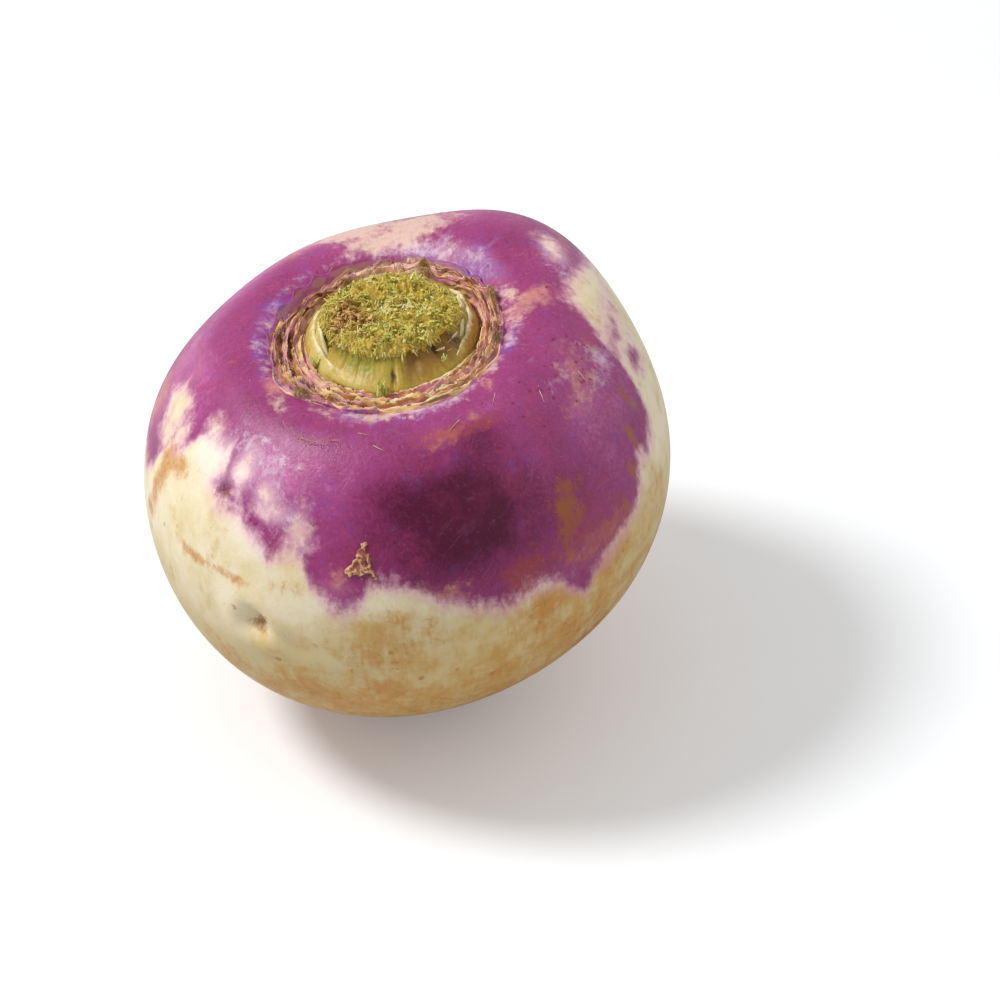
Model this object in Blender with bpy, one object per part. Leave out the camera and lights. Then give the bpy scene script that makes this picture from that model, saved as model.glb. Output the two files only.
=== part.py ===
# A trimmed turnip: the swollen root with its leaf scars, and the cut stub of its leaf stalks.
# Metres, +Z up. The origin is the middle of the footprint, on the surface that the root rests on.
# Each piece is shaped in millimetres about the root's own axis, with the belly's centre as its
# origin and the crown at the top, and is then leaned over and stood on its underside.

import math
import random

import bmesh
import bpy
from mathutils import Matrix, Vector, noise

MM = 0.001
GOLDEN_ANGLE = math.pi * (3 - math.sqrt(5))

LEAN_LEFT = 4.7  # degrees that the crown leans towards -X
LEAN_FRONT = 6.4  # degrees that the crown leans towards -Y

# The root's outline: the angle down from the crown, and the distance from the belly's centre.
OUTLINE = ((0, 29.3), (28.6, 32.9), (34, 37.6), (42, 40.8), (55, 42.8), (72, 44.5), (90, 44.9),
           (110, 44), (130, 41.6), (150, 42), (180, 43))
SEAT_HEIGHT = 28.9  # the flat floor of the crown's basin, above the belly's centre
SEAT_PLACE = (1.2, 0.3)  # the middle of that floor
SEAT_EDGE = (15, 1)  # the floor's radius, and the width of its rounded edge
FLOOR_DEPTH = 42.2  # the trimmed underside, below the belly's centre
SEGMENTS = 80
# Rings of faces between two angles down from the crown, closest over the leaf scars.
RING_RUNS = ((0, 24.5, 3), (24.5, 34, 20), (34, 45, 4), (45, 165, 24), (165, 180, 3))

THREE_LOBES = (0.02, 10.5)  # share of the radius, and the azimuth of one lobe in degrees
OVAL = (0.007, 45)
# Broad swellings of the shoulder: degrees down from the crown, azimuth, height, and spread in degrees.
SWELLINGS = ((53, 51, 5.2, 22), (50, 18, 1.4, 20), (82, 88, 2.6, 22), (62, 141, -1.6, 22.5))
SWELLING_START = (27, 9)  # degrees down from the crown where they set in, and over how many more

# Leaf scars round the crown: how far each ridge's circle stands off the axis towards +X, its radius,
# height and half-width.
SCARS = ((1.2, 15.9, 1, 0.38), (0.7, 17, 1.2, 0.4), (0.1, 18.4, 1.2, 0.5))
SCAR_ZONE = (25, 40)  # degrees down from the crown
SCAR_WANDER = (0.5, 0.22)  # how far a ridge strays from its circle, and its waves to a millimetre
SCAR_RAGGED = (0.8, 0.6)  # how much a ridge's height varies, and its notches to a millimetre
# Dried knots on the scars: azimuth, radius, height and half-width.
KNOTS = ((22, 19.4, 1.2, 1.1), (-6, 18.4, 1, 1), (224, 18.6, 1.1, 1.2),
         (72, 17.6, 0.9, 1.5), (112, 17, 0.9, 1.6))

DIMPLE = (83, 240)  # degrees down from the crown, and azimuth
DIMPLE_SIZE = (1.9, 2.3)  # depth and half-width
LIP_SIZE = (0.5, 4.4)  # height and radius of the low lip round the dimple
CREASE_END = (89, 257)  # the crease runs from the dimple to here
CREASE_SIZE = (0.55, 1.5)  # depth and half-width
FINE_REACH = 0.25  # share of the radius round the dimple where the faces are finer
FINE_CUTS = 2

SEAT_GAP = 0.3  # between the stub's foot and the root
STUB_PLACE = (1.4, 0.5)  # the middle of the stub's foot
DOME_DEPTH = 0.88  # the dome's size from front to back, against its width
STUB_SEGMENTS = 64
# The stub's side: radius and height above its foot, up to the rim where the dome starts.
STUB_SIDE = ((9, 0), (13.3, 0), (14, 0.6), (13.7, 1.3), (12.8, 2.1), (11.9, 3), (11.3, 3.9), (11.2, 4.6))
DOME_RISE = 2.2  # the dome's height above the rim
DOME_SQUARENESS = 2.4  # 2 is an ellipse
DOME_RINGS = 11
# Sheaths and hollows of the stub's side: azimuth and half-width in degrees, height of the middle
# and half-height, and how far the side moves out.
STUB_SWELLS = ((262, 26, 1.2, 1.8, 0.5), (178, 34, 2.2, 2.2, 0.6), (4, 13, 3.2, 1.8, 1.1),
               (45, 24, 1.2, 1.6, 0.4), (318, 22, 3.2, 1.7, -1.7), (289, 5, 2.8, 1.8, -1.3),
               (216, 6, 2.6, 1.6, -0.7))
DOME_ROUGHNESS = 1.5  # the height of the dome's lumps
DOME_GRAIN = 0.5  # lumps to a millimetre
# Hollows in the dome: azimuth and half-width in degrees, radius, half-width across, and depth.
DOME_HOLLOWS = ((42, 26, 10.4, 0.9, 1.6), (160, 50, 1.8, 1.3, 1.1))

SHREDS = 84
RIM_SHARE = 0.72  # the shreds past this share of them hang over the rim, and the others lie matted
SHRED_SEED = 11
SHRED_LENGTH = (1.2, 2)
SHRED_WIDTH = 1.2
SHRED_TAPER = 0.7  # the tip's width against the root's
SHRED_MIDDLE = 0.45  # where along its length a shred bends
SHRED_BEND = 0.5  # how far the tip strays, against the length
SHRED_ROOT = 0.7  # how much of the length again lies behind the root
SHRED_JITTER = 12  # degrees that a shred's root strays from even spacing
HANGING = ((60, 100), (-50, 50))  # degrees down from the dome's top, and aside from straight outwards
MATTED = ((50, 80), (-180, 180))
SHARP_ANGLE = 50


def bump(distance, spread):
    """A bell curve: 1 at no distance, and next to nothing at twice the spread."""
    return math.exp(-((distance / spread) ** 2))


def eased(share):
    """A smooth step from 0 to 1."""
    share = min(1, max(0, share))
    return share * share * (3 - 2 * share)


def turned(angle, middle):
    """The signed difference of two azimuths, in degrees."""
    return (angle - middle + 180) % 360 - 180


def direction(down, around):
    """The unit vector at an angle down from the crown and an azimuth, in degrees."""
    down, around = math.radians(down), math.radians(around)
    return Vector((math.sin(down) * math.cos(around), math.sin(down) * math.sin(around), math.cos(down)))


def smooth_through(points, x):
    """A smooth curve through (x, y) points, level at both ends."""
    i = max(j for j in range(len(points) - 1) if j == 0 or points[j][0] <= x)
    slopes = []
    for j in (i, i + 1):
        before, after = points[max(j - 1, 0)], points[min(j + 1, len(points) - 1)]
        inner = 0 < j < len(points) - 1
        slopes.append((after[1] - before[1]) / (after[0] - before[0]) if inner else 0)
    (x0, y0), (x1, y1) = points[i], points[i + 1]
    t = (x - x0) / (x1 - x0)
    pull = slopes[0] * t * (1 - t) ** 2 - slopes[1] * t * t * (1 - t)
    return y0 + (y1 - y0) * eased(t) + (x1 - x0) * pull


def scar_relief(place):
    """The height of the leaf scars and their knots, at a point of the root's surface."""
    around = math.degrees(math.atan2(place.y, place.x))
    radius = math.hypot(place.x, place.y)
    height = 0
    for shift, middle, rise, spread in SCARS:
        own = Vector((0, 0, middle))
        stray = SCAR_WANDER[0] * noise.noise(place * SCAR_WANDER[1] + own)
        notches = SCAR_RAGGED[0] * noise.noise(place * SCAR_RAGGED[1] + own)
        aside = math.hypot(place.x - shift, place.y) - middle - stray
        height += rise * (1 + notches) * bump(aside, spread)
    for azimuth, middle, rise, spread in KNOTS:
        along = math.radians(turned(around, azimuth)) * middle
        height += rise * bump(math.hypot(along, radius - middle), spread)
    return height


def dimple_relief(way, distance):
    """The height of the dimple, its lip and the crease that runs from it."""
    start, end = direction(*DIMPLE), direction(*CREASE_END)
    if way.dot(start) < 0:
        return 0
    from_start = way - start
    near = from_start.length * distance
    lip = LIP_SIZE[0] * bump(near - LIP_SIZE[1], DIMPLE_SIZE[1])
    hollow = DIMPLE_SIZE[0] * bump(near, DIMPLE_SIZE[1])
    run = end - start
    share = min(1, max(0, from_start.dot(run) / run.length_squared))
    aside = (from_start - run * share).length * distance
    crease = CREASE_SIZE[0] * bump(aside, CREASE_SIZE[1]) * (1 - share**3)
    return lip - hollow - crease


def root_distance(way):
    """The distance of the root's surface from the belly's centre, along a unit vector."""
    down = math.degrees(way.angle(Vector((0, 0, 1))))
    around = math.degrees(math.atan2(way.y, way.x))
    across = math.sin(math.radians(down))
    share, azimuth = THREE_LOBES
    lobes = share * math.cos(math.radians(3 * (around - azimuth))) * across**3
    share, azimuth = OVAL
    lobes += share * math.cos(math.radians(2 * (around - azimuth))) * across**2
    distance = smooth_through(OUTLINE, down) * (1 + lobes)
    start, run = SWELLING_START
    for swell_down, swell_around, rise, spread in SWELLINGS:
        away = math.degrees(way.angle(direction(swell_down, swell_around)))
        distance += rise * bump(away, spread) * eased((down - start) / run)
    if SCAR_ZONE[0] < down < SCAR_ZONE[1]:
        distance += scar_relief(way * distance)
    if down < SCAR_ZONE[1]:
        radius = (way * distance - Vector((*SEAT_PLACE, 0))).xy.length
        beyond = eased((radius - SEAT_EDGE[0]) / SEAT_EDGE[1])
        distance = distance * beyond + SEAT_HEIGHT / way.z * (1 - beyond)
    return distance + dimple_relief(way, distance)


def stub_point(point):
    """Where the stub's sheaths, hollows and rough dome move a point of its plain turned shape."""
    around = math.degrees(math.atan2(point.y, point.x))
    radius = math.hypot(point.x, point.y)
    out, lift = 0, 0
    if point.z > 0:
        for azimuth, spread, middle, half_height, move in STUB_SWELLS:
            out += move * bump(turned(around, azimuth), spread) * bump(point.z - middle, half_height)
    if point.z >= STUB_SIDE[-1][1]:
        out *= radius / STUB_SIDE[-1][0]
        lift = DOME_ROUGHNESS * noise.noise(point * DOME_GRAIN)
        for azimuth, spread, middle, half_across, depth in DOME_HOLLOWS:
            lift -= depth * bump(turned(around, azimuth), spread) * bump(radius - middle, half_across)
    stretch = 1 + out / max(radius, 1)
    depth = 1 + (DOME_DEPTH - 1) * eased(point.z / STUB_SIDE[-1][1])
    return Vector((point.x * stretch, point.y * stretch * depth, point.z + lift))


def lathe(points, segments):
    """A closed turned shape from (radius, height) points, drawn in to the axis at both ends."""
    mesh = bmesh.new()
    chain = [mesh.verts.new((0, 0, points[0][1]))]
    chain += [mesh.verts.new((radius, 0, height)) for radius, height in points]
    chain.append(mesh.verts.new((0, 0, points[-1][1])))
    edges = [mesh.edges.new(pair) for pair in zip(chain, chain[1:])]
    bmesh.ops.spin(mesh, geom=chain + edges, axis=(0, 0, 1), angle=math.tau, steps=segments)
    bmesh.ops.remove_doubles(mesh, verts=mesh.verts, dist=1e-4)
    bmesh.ops.recalc_face_normals(mesh, faces=mesh.faces)
    return mesh


def bulb_mesh():
    angles = [start + (end - start) * i / count for start, end, count in RING_RUNS for i in range(count)]
    profile = [(math.sin(math.radians(a)), math.cos(math.radians(a))) for a in angles[1:]]
    mesh = lathe(profile, SEGMENTS)
    hollow = direction(*DIMPLE)
    near = [edge for edge in mesh.edges if all((v.co - hollow).length < FINE_REACH for v in edge.verts)]
    bmesh.ops.subdivide_edges(mesh, edges=near, cuts=FINE_CUTS, use_grid_fill=True)
    bmesh.ops.triangulate(mesh, faces=mesh.faces)
    for vertex in mesh.verts:
        way = vertex.co.normalized()
        vertex.co = way * root_distance(way)
    bmesh.ops.transform(mesh, matrix=lean(), verts=mesh.verts)
    everything = mesh.verts[:] + mesh.edges[:] + mesh.faces[:]
    cut = bmesh.ops.bisect_plane(
        mesh, geom=everything, plane_co=(0, 0, -FLOOR_DEPTH), plane_no=(0, 0, -1), clear_outer=True
    )
    rim = [item for item in cut["geom_cut"] if isinstance(item, bmesh.types.BMEdge)]
    bmesh.ops.edgeloop_fill(mesh, edges=rim)
    bmesh.ops.recalc_face_normals(mesh, faces=mesh.faces)
    return mesh


def shred_mesh(root, way, length, chance):
    """A bent three-sided shred that grows from a point of the dome, with its root sunk in it."""
    stray = Vector((chance.uniform(-1, 1), chance.uniform(-1, 1), chance.uniform(-0.2, 0.5)))
    turn = way.to_track_quat("Z", "X")
    mesh = bmesh.new()
    rings = []
    for share, taper in ((-SHRED_ROOT, 1), (SHRED_MIDDLE, (1 + SHRED_TAPER) / 2), (1, SHRED_TAPER)):
        middle = root + way * (length * share) + stray * (SHRED_BEND * length * max(0, share) ** 2)
        corners = [turn @ direction(90, 120 * i) * (SHRED_WIDTH / 2 * taper) for i in range(3)]
        rings.append([mesh.verts.new(middle + corner) for corner in corners])
    mesh.faces.new(rings[0])
    mesh.faces.new(rings[-1])
    for low, high in zip(rings, rings[1:]):
        for i in range(3):
            mesh.faces.new((low[i], low[i - 1], high[i - 1], high[i]))
    bmesh.ops.recalc_face_normals(mesh, faces=mesh.faces)
    return mesh


def dome_height(radius):
    """The dome's height above the stub's foot, at a radius from its middle."""
    share = min(1, radius / STUB_SIDE[-1][0])
    return STUB_SIDE[-1][1] + DOME_RISE * (1 - share**DOME_SQUARENESS) ** (1 / DOME_SQUARENESS)


def shred_meshes():
    """Shreds all over the dome, evenly spread: matted across it, and hanging outwards round its rim."""
    chance = random.Random(SHRED_SEED)
    for i in range(SHREDS):
        share = (i + 0.5) / SHREDS
        radius = STUB_SIDE[-1][0] * math.sqrt(share)
        around = math.degrees(i * GOLDEN_ANGLE) + chance.uniform(-SHRED_JITTER, SHRED_JITTER)
        root = stub_point(direction(90, around) * radius + Vector((0, 0, dome_height(radius))))
        down, aside = HANGING if share > RIM_SHARE else MATTED
        way = direction(chance.uniform(*down), around + chance.uniform(*aside))
        yield shred_mesh(root, way, chance.uniform(*SHRED_LENGTH), chance)


def stub_mesh():
    dome = [STUB_SIDE[-1][0] * math.cos(math.pi / 2 * i / DOME_RINGS) for i in range(1, DOME_RINGS)]
    mesh = lathe([*STUB_SIDE, *((radius, dome_height(radius)) for radius in dome)], STUB_SEGMENTS)
    for vertex in mesh.verts:
        vertex.co = stub_point(vertex.co)
    return mesh


def stub_place():
    return lean() @ Matrix.Translation((*STUB_PLACE, SEAT_HEIGHT + SEAT_GAP))


def lean():
    """The turn that takes the upright axis to the root's own."""
    axis = Vector((-math.sin(math.radians(LEAN_LEFT)), -math.sin(math.radians(LEAN_FRONT)), 0))
    axis.z = math.sqrt(1 - axis.length_squared)
    return Vector((0, 0, 1)).rotation_difference(axis).to_matrix().to_4x4()


def material(name, colour, roughness):
    made = bpy.data.materials.new(name)
    made.use_nodes = True
    shader = made.node_tree.nodes["Principled BSDF"]
    shader.inputs["Base Color"].default_value = (*colour, 1)
    shader.inputs["Roughness"].default_value = roughness
    shader.inputs["Metallic"].default_value = 0
    return made


def add_object(name, mesh, collection):
    """An object in metres from a mesh in millimetres about the belly's centre."""
    place = Matrix.Scale(MM, 4) @ Matrix.Translation((0, 0, FLOOR_DEPTH))
    bmesh.ops.transform(mesh, matrix=place, verts=mesh.verts)
    data = bpy.data.meshes.new(name)
    mesh.to_mesh(data)
    mesh.free()
    thing = bpy.data.objects.new(name, data)
    collection.objects.link(thing)
    return thing


def keep_outer_skin(data):
    """Drops loose scraps and fills sealed hollows, by keeping the largest connected surface alone."""
    mesh = bmesh.new()
    mesh.from_mesh(data)
    unseen = set(mesh.verts)
    largest = set()
    while unseen:
        island, border = set(), {unseen.pop()}
        while border:
            vertex = border.pop()
            island.add(vertex)
            linked = {edge.other_vert(vertex) for edge in vertex.link_edges} & unseen
            unseen -= linked
            border |= linked
        largest = max(largest, island, key=len)
    bmesh.ops.delete(mesh, geom=[v for v in mesh.verts if v not in largest], context="VERTS")
    mesh.to_mesh(data)
    mesh.free()


def finish(node, made):
    """Smooth shading, with the flat underside and the shreds' edges kept sharp, and its one material."""
    node.data.shade_smooth()
    node.data.set_sharp_from_angle(angle=math.radians(SHARP_ANGLE))
    node.data.materials.clear()
    node.data.materials.append(made)


def add_bulb():
    bulb = add_object("bulb", bulb_mesh(), bpy.context.scene.collection)
    finish(bulb, material("purple_skin", (0.36, 0.08, 0.25), 0.4))
    return bulb


def add_crown_stub():
    mesh = stub_mesh()
    bmesh.ops.transform(mesh, matrix=stub_place(), verts=mesh.verts)
    stub = add_object("crown_stub", mesh, bpy.context.scene.collection)
    shreds = bpy.data.collections.new("shreds")
    bpy.context.scene.collection.children.link(shreds)
    for mesh in shred_meshes():
        bmesh.ops.transform(mesh, matrix=stub_place(), verts=mesh.verts)
        add_object("shred", mesh, shreds)
    union = stub.modifiers.new("shreds", "BOOLEAN")
    union.operation = "UNION"
    union.operand_type = "COLLECTION"
    union.collection = shreds
    union.solver = "EXACT"
    evaluated = stub.evaluated_get(bpy.context.evaluated_depsgraph_get())
    joined = bpy.data.meshes.new_from_object(evaluated)
    stub.modifiers.clear()
    stub.data = joined
    keep_outer_skin(joined)
    for shred in list(shreds.objects):
        bpy.data.objects.remove(shred)
    bpy.data.collections.remove(shreds)
    finish(stub, material("dried_stalk", (0.33, 0.26, 0.05), 0.6))
    return stub


def centre_footprint(nodes):
    """Slides the meshes so that the middle of their footprint is at the origin."""
    corners = [vertex.co for node in nodes for vertex in node.data.vertices]
    low = Vector([min(corner[i] for corner in corners) for i in range(3)])
    high = Vector([max(corner[i] for corner in corners) for i in range(3)])
    slide = Matrix.Translation((-(low.x + high.x) / 2, -(low.y + high.y) / 2, -low.z))
    for node in nodes:
        node.data.transform(slide)


def main():
    for thing in list(bpy.data.objects):
        bpy.data.objects.remove(thing)
    centre_footprint([add_bulb(), add_crown_stub()])


main()
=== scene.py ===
import math
import random

import bpy
import numpy as np
from mathutils import Matrix, Vector, noise


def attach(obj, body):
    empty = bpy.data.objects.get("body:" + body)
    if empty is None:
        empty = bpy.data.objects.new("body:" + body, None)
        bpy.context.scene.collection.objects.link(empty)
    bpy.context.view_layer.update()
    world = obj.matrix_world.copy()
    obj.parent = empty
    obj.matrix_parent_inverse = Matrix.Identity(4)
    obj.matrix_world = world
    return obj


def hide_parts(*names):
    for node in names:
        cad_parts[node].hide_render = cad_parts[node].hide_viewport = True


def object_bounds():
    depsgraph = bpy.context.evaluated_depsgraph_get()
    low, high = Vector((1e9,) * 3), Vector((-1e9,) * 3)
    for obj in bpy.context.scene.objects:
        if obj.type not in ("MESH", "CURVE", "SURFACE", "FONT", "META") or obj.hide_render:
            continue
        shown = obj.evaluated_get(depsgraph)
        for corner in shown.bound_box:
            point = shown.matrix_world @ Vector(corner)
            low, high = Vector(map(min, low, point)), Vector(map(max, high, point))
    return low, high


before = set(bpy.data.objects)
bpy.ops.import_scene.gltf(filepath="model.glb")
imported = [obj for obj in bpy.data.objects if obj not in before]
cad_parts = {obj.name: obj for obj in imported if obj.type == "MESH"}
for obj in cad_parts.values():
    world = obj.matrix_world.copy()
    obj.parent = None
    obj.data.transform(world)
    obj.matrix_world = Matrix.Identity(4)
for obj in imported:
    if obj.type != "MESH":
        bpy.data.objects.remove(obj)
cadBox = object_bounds()

mm = 0.001
goldenAngle = math.pi * (3 - math.sqrt(5))

# How the root stands: everything on it is shaped in millimetres about its own upright axis, with the
# belly's centre as the origin, then leaned over and lifted onto the floor.
stance = dict(
    leanLeft=4.7,
    leanFront=6.4,
    belly=(-0.72, -0.5, 42.2),
)


def leanTurn():
    left, front = math.radians(stance["leanLeft"]), math.radians(stance["leanFront"])
    axis = Vector((-math.sin(left), -math.sin(front), 0))
    axis.z = math.sqrt(1 - axis.length_squared)
    return Vector((0, 0, 1)).rotation_difference(axis).to_matrix().to_4x4()


rootPlace = Matrix.Scale(mm, 4) @ Matrix.Translation(stance["belly"]) @ leanTurn()


def deselectAll():
    for thing in bpy.context.selected_objects:
        thing.select_set(False)
    bpy.context.view_layer.objects.active = None


def pickOnly(piece):
    deselectAll()
    piece.select_set(True)
    bpy.context.view_layer.objects.active = piece


def newPiece(add, **settings):
    # what one of Blender's adding operators makes, picked on its own
    deselectAll()
    add(**settings)
    return bpy.context.object


def applyModifier(piece, kind, **settings):
    pickOnly(piece)
    modifier = piece.modifiers.new(kind.lower(), kind)
    for name, value in settings.items():
        setattr(modifier, name, value)
    bpy.ops.object.modifier_apply(modifier=modifier.name)


def raiseRows(rows):
    # extrude the picked circle through rows of radius and height
    bpy.ops.object.mode_set(mode="EDIT")
    bpy.ops.mesh.select_all(action="SELECT")
    for (radius, height), (wider, higher) in zip(rows, rows[1:]):
        bpy.ops.mesh.extrude_region_move(TRANSFORM_OT_translate=dict(value=(0, 0, higher - height)))
        bpy.ops.transform.resize(value=(wider / radius, wider / radius, 1))
    bpy.ops.mesh.select_all(action="SELECT")
    bpy.ops.mesh.normals_make_consistent(inside=False)
    bpy.ops.object.mode_set(mode="OBJECT")


def pointsOf(piece):
    flat = np.empty(len(piece.data.vertices) * 3)
    piece.data.vertices.foreach_get("co", flat)
    return flat.reshape(-1, 3)


def movePoints(piece, points):
    piece.data.vertices.foreach_set("co", np.asarray(points, float).ravel())
    piece.data.update()


def storeFields(piece, **fields):
    # one number a point, or one vector a point
    for name, values in fields.items():
        values = np.asarray(values, np.float32)
        kind, key = ("FLOAT_VECTOR", "vector") if values.ndim == 2 else ("FLOAT", "value")
        piece.data.attributes.new(name, kind, "POINT").data.foreach_set(key, values.ravel())


# Sums on shader sockets read as plain Python.
class Wire:
    def __init__(self, finish, socket):
        self.finish = finish
        self.socket = socket

    def maths(self, operation, first, second):
        return self.finish.node("Math", dict(operation=operation), {0: first, 1: second})

    def __add__(self, other):
        return self.maths("ADD", self, other)

    def __radd__(self, other):
        return self.maths("ADD", other, self)

    def __sub__(self, other):
        return self.maths("SUBTRACT", self, other)

    def __rsub__(self, other):
        return self.maths("SUBTRACT", other, self)

    def __mul__(self, other):
        return self.maths("MULTIPLY", self, other)

    def __rmul__(self, other):
        return self.maths("MULTIPLY", other, self)

    def __truediv__(self, other):
        return self.maths("DIVIDE", self, other)

    def least(self, other):
        return self.maths("MINIMUM", self, other)

    def most(self, other):
        return self.maths("MAXIMUM", self, other)

    def step(self, low, high):
        # 0 below low, 1 above high, and smooth between them
        return self.finish.node(
            "MapRange", dict(interpolation_type="SMOOTHSTEP"), {0: self, 1: low, 2: high, 3: 0, 4: 1})


# The nodes of one material, or of the world.
class Finish:
    def __init__(self, name, owner=None, shader="Principled BSDF", **fixed):
        self.owner = owner or bpy.data.materials.new(name)
        self.owner.use_nodes = True
        self.tree = self.owner.node_tree
        self.shader = self.tree.nodes[shader]
        for socket, value in fixed.items():
            self.shader.inputs[socket.replace("_", " ")].default_value = value

    def node(self, kind, settings, inputs, output=0):
        made = self.tree.nodes.new("ShaderNode" + kind)
        for name, value in settings.items():
            setattr(made, name, value)
        for key, value in inputs.items():
            if isinstance(value, Wire):
                self.tree.links.new(value.socket, made.inputs[key])
            else:
                made.inputs[key].default_value = value
        return Wire(self, made.outputs[output])

    def field(self, name, output="Fac"):
        return self.node("Attribute", dict(attribute_name=name), {}, output)

    def objectPlace(self):
        return self.node("TexCoord", {}, {}, "Object")

    def noise(self, perMm, detail=2, roughness=0.5, place=None, stretch=(1, 1, 1), shift=0):
        unit = 1 if place else mm
        moved = self.node("Mapping", {}, {
            "Vector": place or self.objectPlace(), "Scale": tuple(perMm * s / unit for s in stretch),
            "Location": (shift, shift * 0.7, shift * 1.3)})
        return self.node(
            "TexNoise", {}, {"Vector": moved, "Scale": 1, "Detail": detail, "Roughness": roughness})

    def sway(self, perMm, **settings):
        # noise that swings about 0, mostly between -1 and 1
        return (self.noise(perMm, **settings) - 0.5) * 4

    def gate(self, name):
        # shut where a tint's own field has died away, so that noise alone can't call it up
        return self.field(name).step(0, 0.3) * 0.92 + 0.08

    def dots(self, perMm, small, large):
        # round dots, full inside the small radius and gone outside the large one, in shares of their spacing
        placed = self.node("Mapping", {}, {"Vector": self.objectPlace(), "Scale": (perMm / mm,) * 3})
        return 1 - self.node("TexVoronoi", {}, {"Vector": placed, "Scale": 1}).step(small, large)

    def scratch(self, perMm, turn, shift):
        # thin lines, long along their own way, where a stretched pattern passes its middle value
        width = mm / perMm
        placed = self.node("Mapping", dict(vector_type="TEXTURE"), {
            "Vector": self.objectPlace(), "Rotation": turn, "Scale": (width, width * 14, width * 14),
            "Location": (shift * mm, 0, 0)})
        line = self.node("TexNoise", {}, {"Vector": placed, "Scale": 1, "Detail": 1}) - 0.5
        return 1 - (line * line).step(0.00002, 0.0002)

    def bump(self, strength, depth, relief):
        return self.node("Bump", {}, {"Strength": strength, "Distance": depth * mm, "Height": relief})

    def mix(self, share, first, second):
        first, second = (colourOf(c) if isinstance(c, str) else c for c in (first, second))
        return self.node("Mix", dict(data_type="RGBA", clamp_factor=True), {0: share, 6: first, 7: second}, 2)

    def layered(self, colour, *coats):
        # each coat is how much of it shows, and its colour
        for share, coat in coats:
            colour = self.mix(share, colour, coat)
        return colour

    def feed(self, **sockets):
        for socket, wire in sockets.items():
            self.tree.links.new(wire.socket, self.shader.inputs[socket.replace("_", " ")])
        return self.owner


def colourOf(code):
    # from a hex code, or the name of one of the skin's colours
    code = skinColours.get(code, code)
    parts = [int(code[i:i + 2], 16) / 255 for i in (0, 2, 4)]
    return (*(p / 12.92 if p <= 0.04045 else ((p + 0.055) / 1.055) ** 2.4 for p in parts), 1)


def juicy(weight, depth, tint=(1, 0.8, 0.3)):
    # how much light moist flesh lets through, and how deep, in metres
    return dict(Subsurface_Weight=weight, Subsurface_Radius=tint, Subsurface_Scale=depth)


def bell(distance, spread):
    return np.exp(-(distance / spread) ** 2)


def eased(share):
    share = np.clip(share, 0, 1)
    return share * share * (3 - 2 * share)


def turned(angle, middle):
    return (angle - middle + 180) % 360 - 180


def aroundOf(points):
    return np.degrees(np.arctan2(points[:, 1], points[:, 0]))


def downOf(ways):
    return np.degrees(np.arccos(np.clip(ways[:, 2], -1, 1)))


def wayTo(down, around):
    # unit vectors at angles down from the crown and round the root, in degrees
    down, around = np.radians(down), np.radians(around)
    return wallPoints(around, np.sin(down), np.cos(down))


def wallPoints(turn, radius, height):
    # points on an upright round wall, at angles in radians
    return np.stack([np.cos(turn) * radius, np.sin(turn) * radius, height + 0 * turn], -1)


def noiseAt(points, waves, own=(0, 0, 0)):
    own = Vector(own)
    return np.array([noise.noise(Vector(p) * waves + own) for p in points])


def ridgesAt(points, waves, dimension=0.9, octaves=4):
    return np.array(
        [noise.ridged_multi_fractal(Vector(p) * waves, dimension, 2.1, octaves, 0.9, 2) for p in points])


def smoothThrough(knots, x):
    # a smooth curve through (x, y) points, level at both ends
    knotX, knotY = np.array(knots, float).T
    slopes = np.zeros(len(knotX))
    slopes[1:-1] = (knotY[2:] - knotY[:-2]) / (knotX[2:] - knotX[:-2])
    i = np.clip(np.searchsorted(knotX, x, side="right") - 1, 0, len(knotX) - 2)
    run = knotX[i + 1] - knotX[i]
    t = (x - knotX[i]) / run
    pull = slopes[i] * t * (1 - t) ** 2 - slopes[i + 1] * t * t * (1 - t)
    return knotY[i] + (knotY[i + 1] - knotY[i]) * eased(t) + run * pull


# The root's form, in millimetres and degrees, each place on it by angles down from the crown and round.
root = dict(
    segments=360,
    rings=((0, 22, 5), (22, 36, 86), (36, 46, 18), (46, 150, 120), (150, 180, 8)),
    outline=((0, 29.3), (28.6, 32.9), (34, 37.6), (42, 40.8), (55, 42.8), (72, 44.5), (90, 44.9), (110, 44),
        (130, 41.6), (150, 42), (180, 43)),
    threeLobes=(0.02, 10.5),
    oval=(0.007, 45),
    swellings=((53, 51, 5.2, 22), (50, 18, 1.4, 20), (82, 88, 2.6, 22), (62, 141, -1.6, 22.5)),
    swellingStart=(27, 9),
    seatHeight=28.9,
    seatPlace=(1.2, 0.3),
    seatEdge=(15, 1),
    scars=((1.2, 15.9, 1, 0.38), (0.7, 17, 1.2, 0.4), (0.1, 18.4, 1.2, 0.5)),
    scarZone=(25, 40),
    scarWander=(0.5, 0.22),
    scarRagged=(0.8, 0.6),
    knots=((22, 19.4, 1.2, 1.1), (-6, 18.4, 1, 1), (224, 18.6, 1.1, 1.2), (72, 17.6, 0.9, 1.5),
        (112, 17, 0.9, 1.6)),
    dimple=(83, 240),
    dimpleSize=(1.9, 2.3),
    lipSize=(0.5, 4.4),
    creaseEnd=(89, 257),
    creaseSize=(0.55, 1.5),
    inset=0.12,  # the fine skin lies this far inside the plain solid
    offFloor=0.05,
)


def scarRelief(points):
    around = aroundOf(points)
    radius = np.hypot(points[:, 0], points[:, 1])
    height = np.zeros(len(points))
    for shift, middle, rise, spread in root["scars"]:
        stray, notches = (share * noiseAt(points, waves, (0, 0, middle))
                          for share, waves in (root["scarWander"], root["scarRagged"]))
        aside = np.hypot(points[:, 0] - shift, points[:, 1]) - middle - stray
        height += rise * (1 + notches) * bell(aside, spread)
    for azimuth, middle, rise, spread in root["knots"]:
        along = np.radians(turned(around, azimuth)) * middle
        height += rise * bell(np.hypot(along, radius - middle), spread)
    return height


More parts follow.
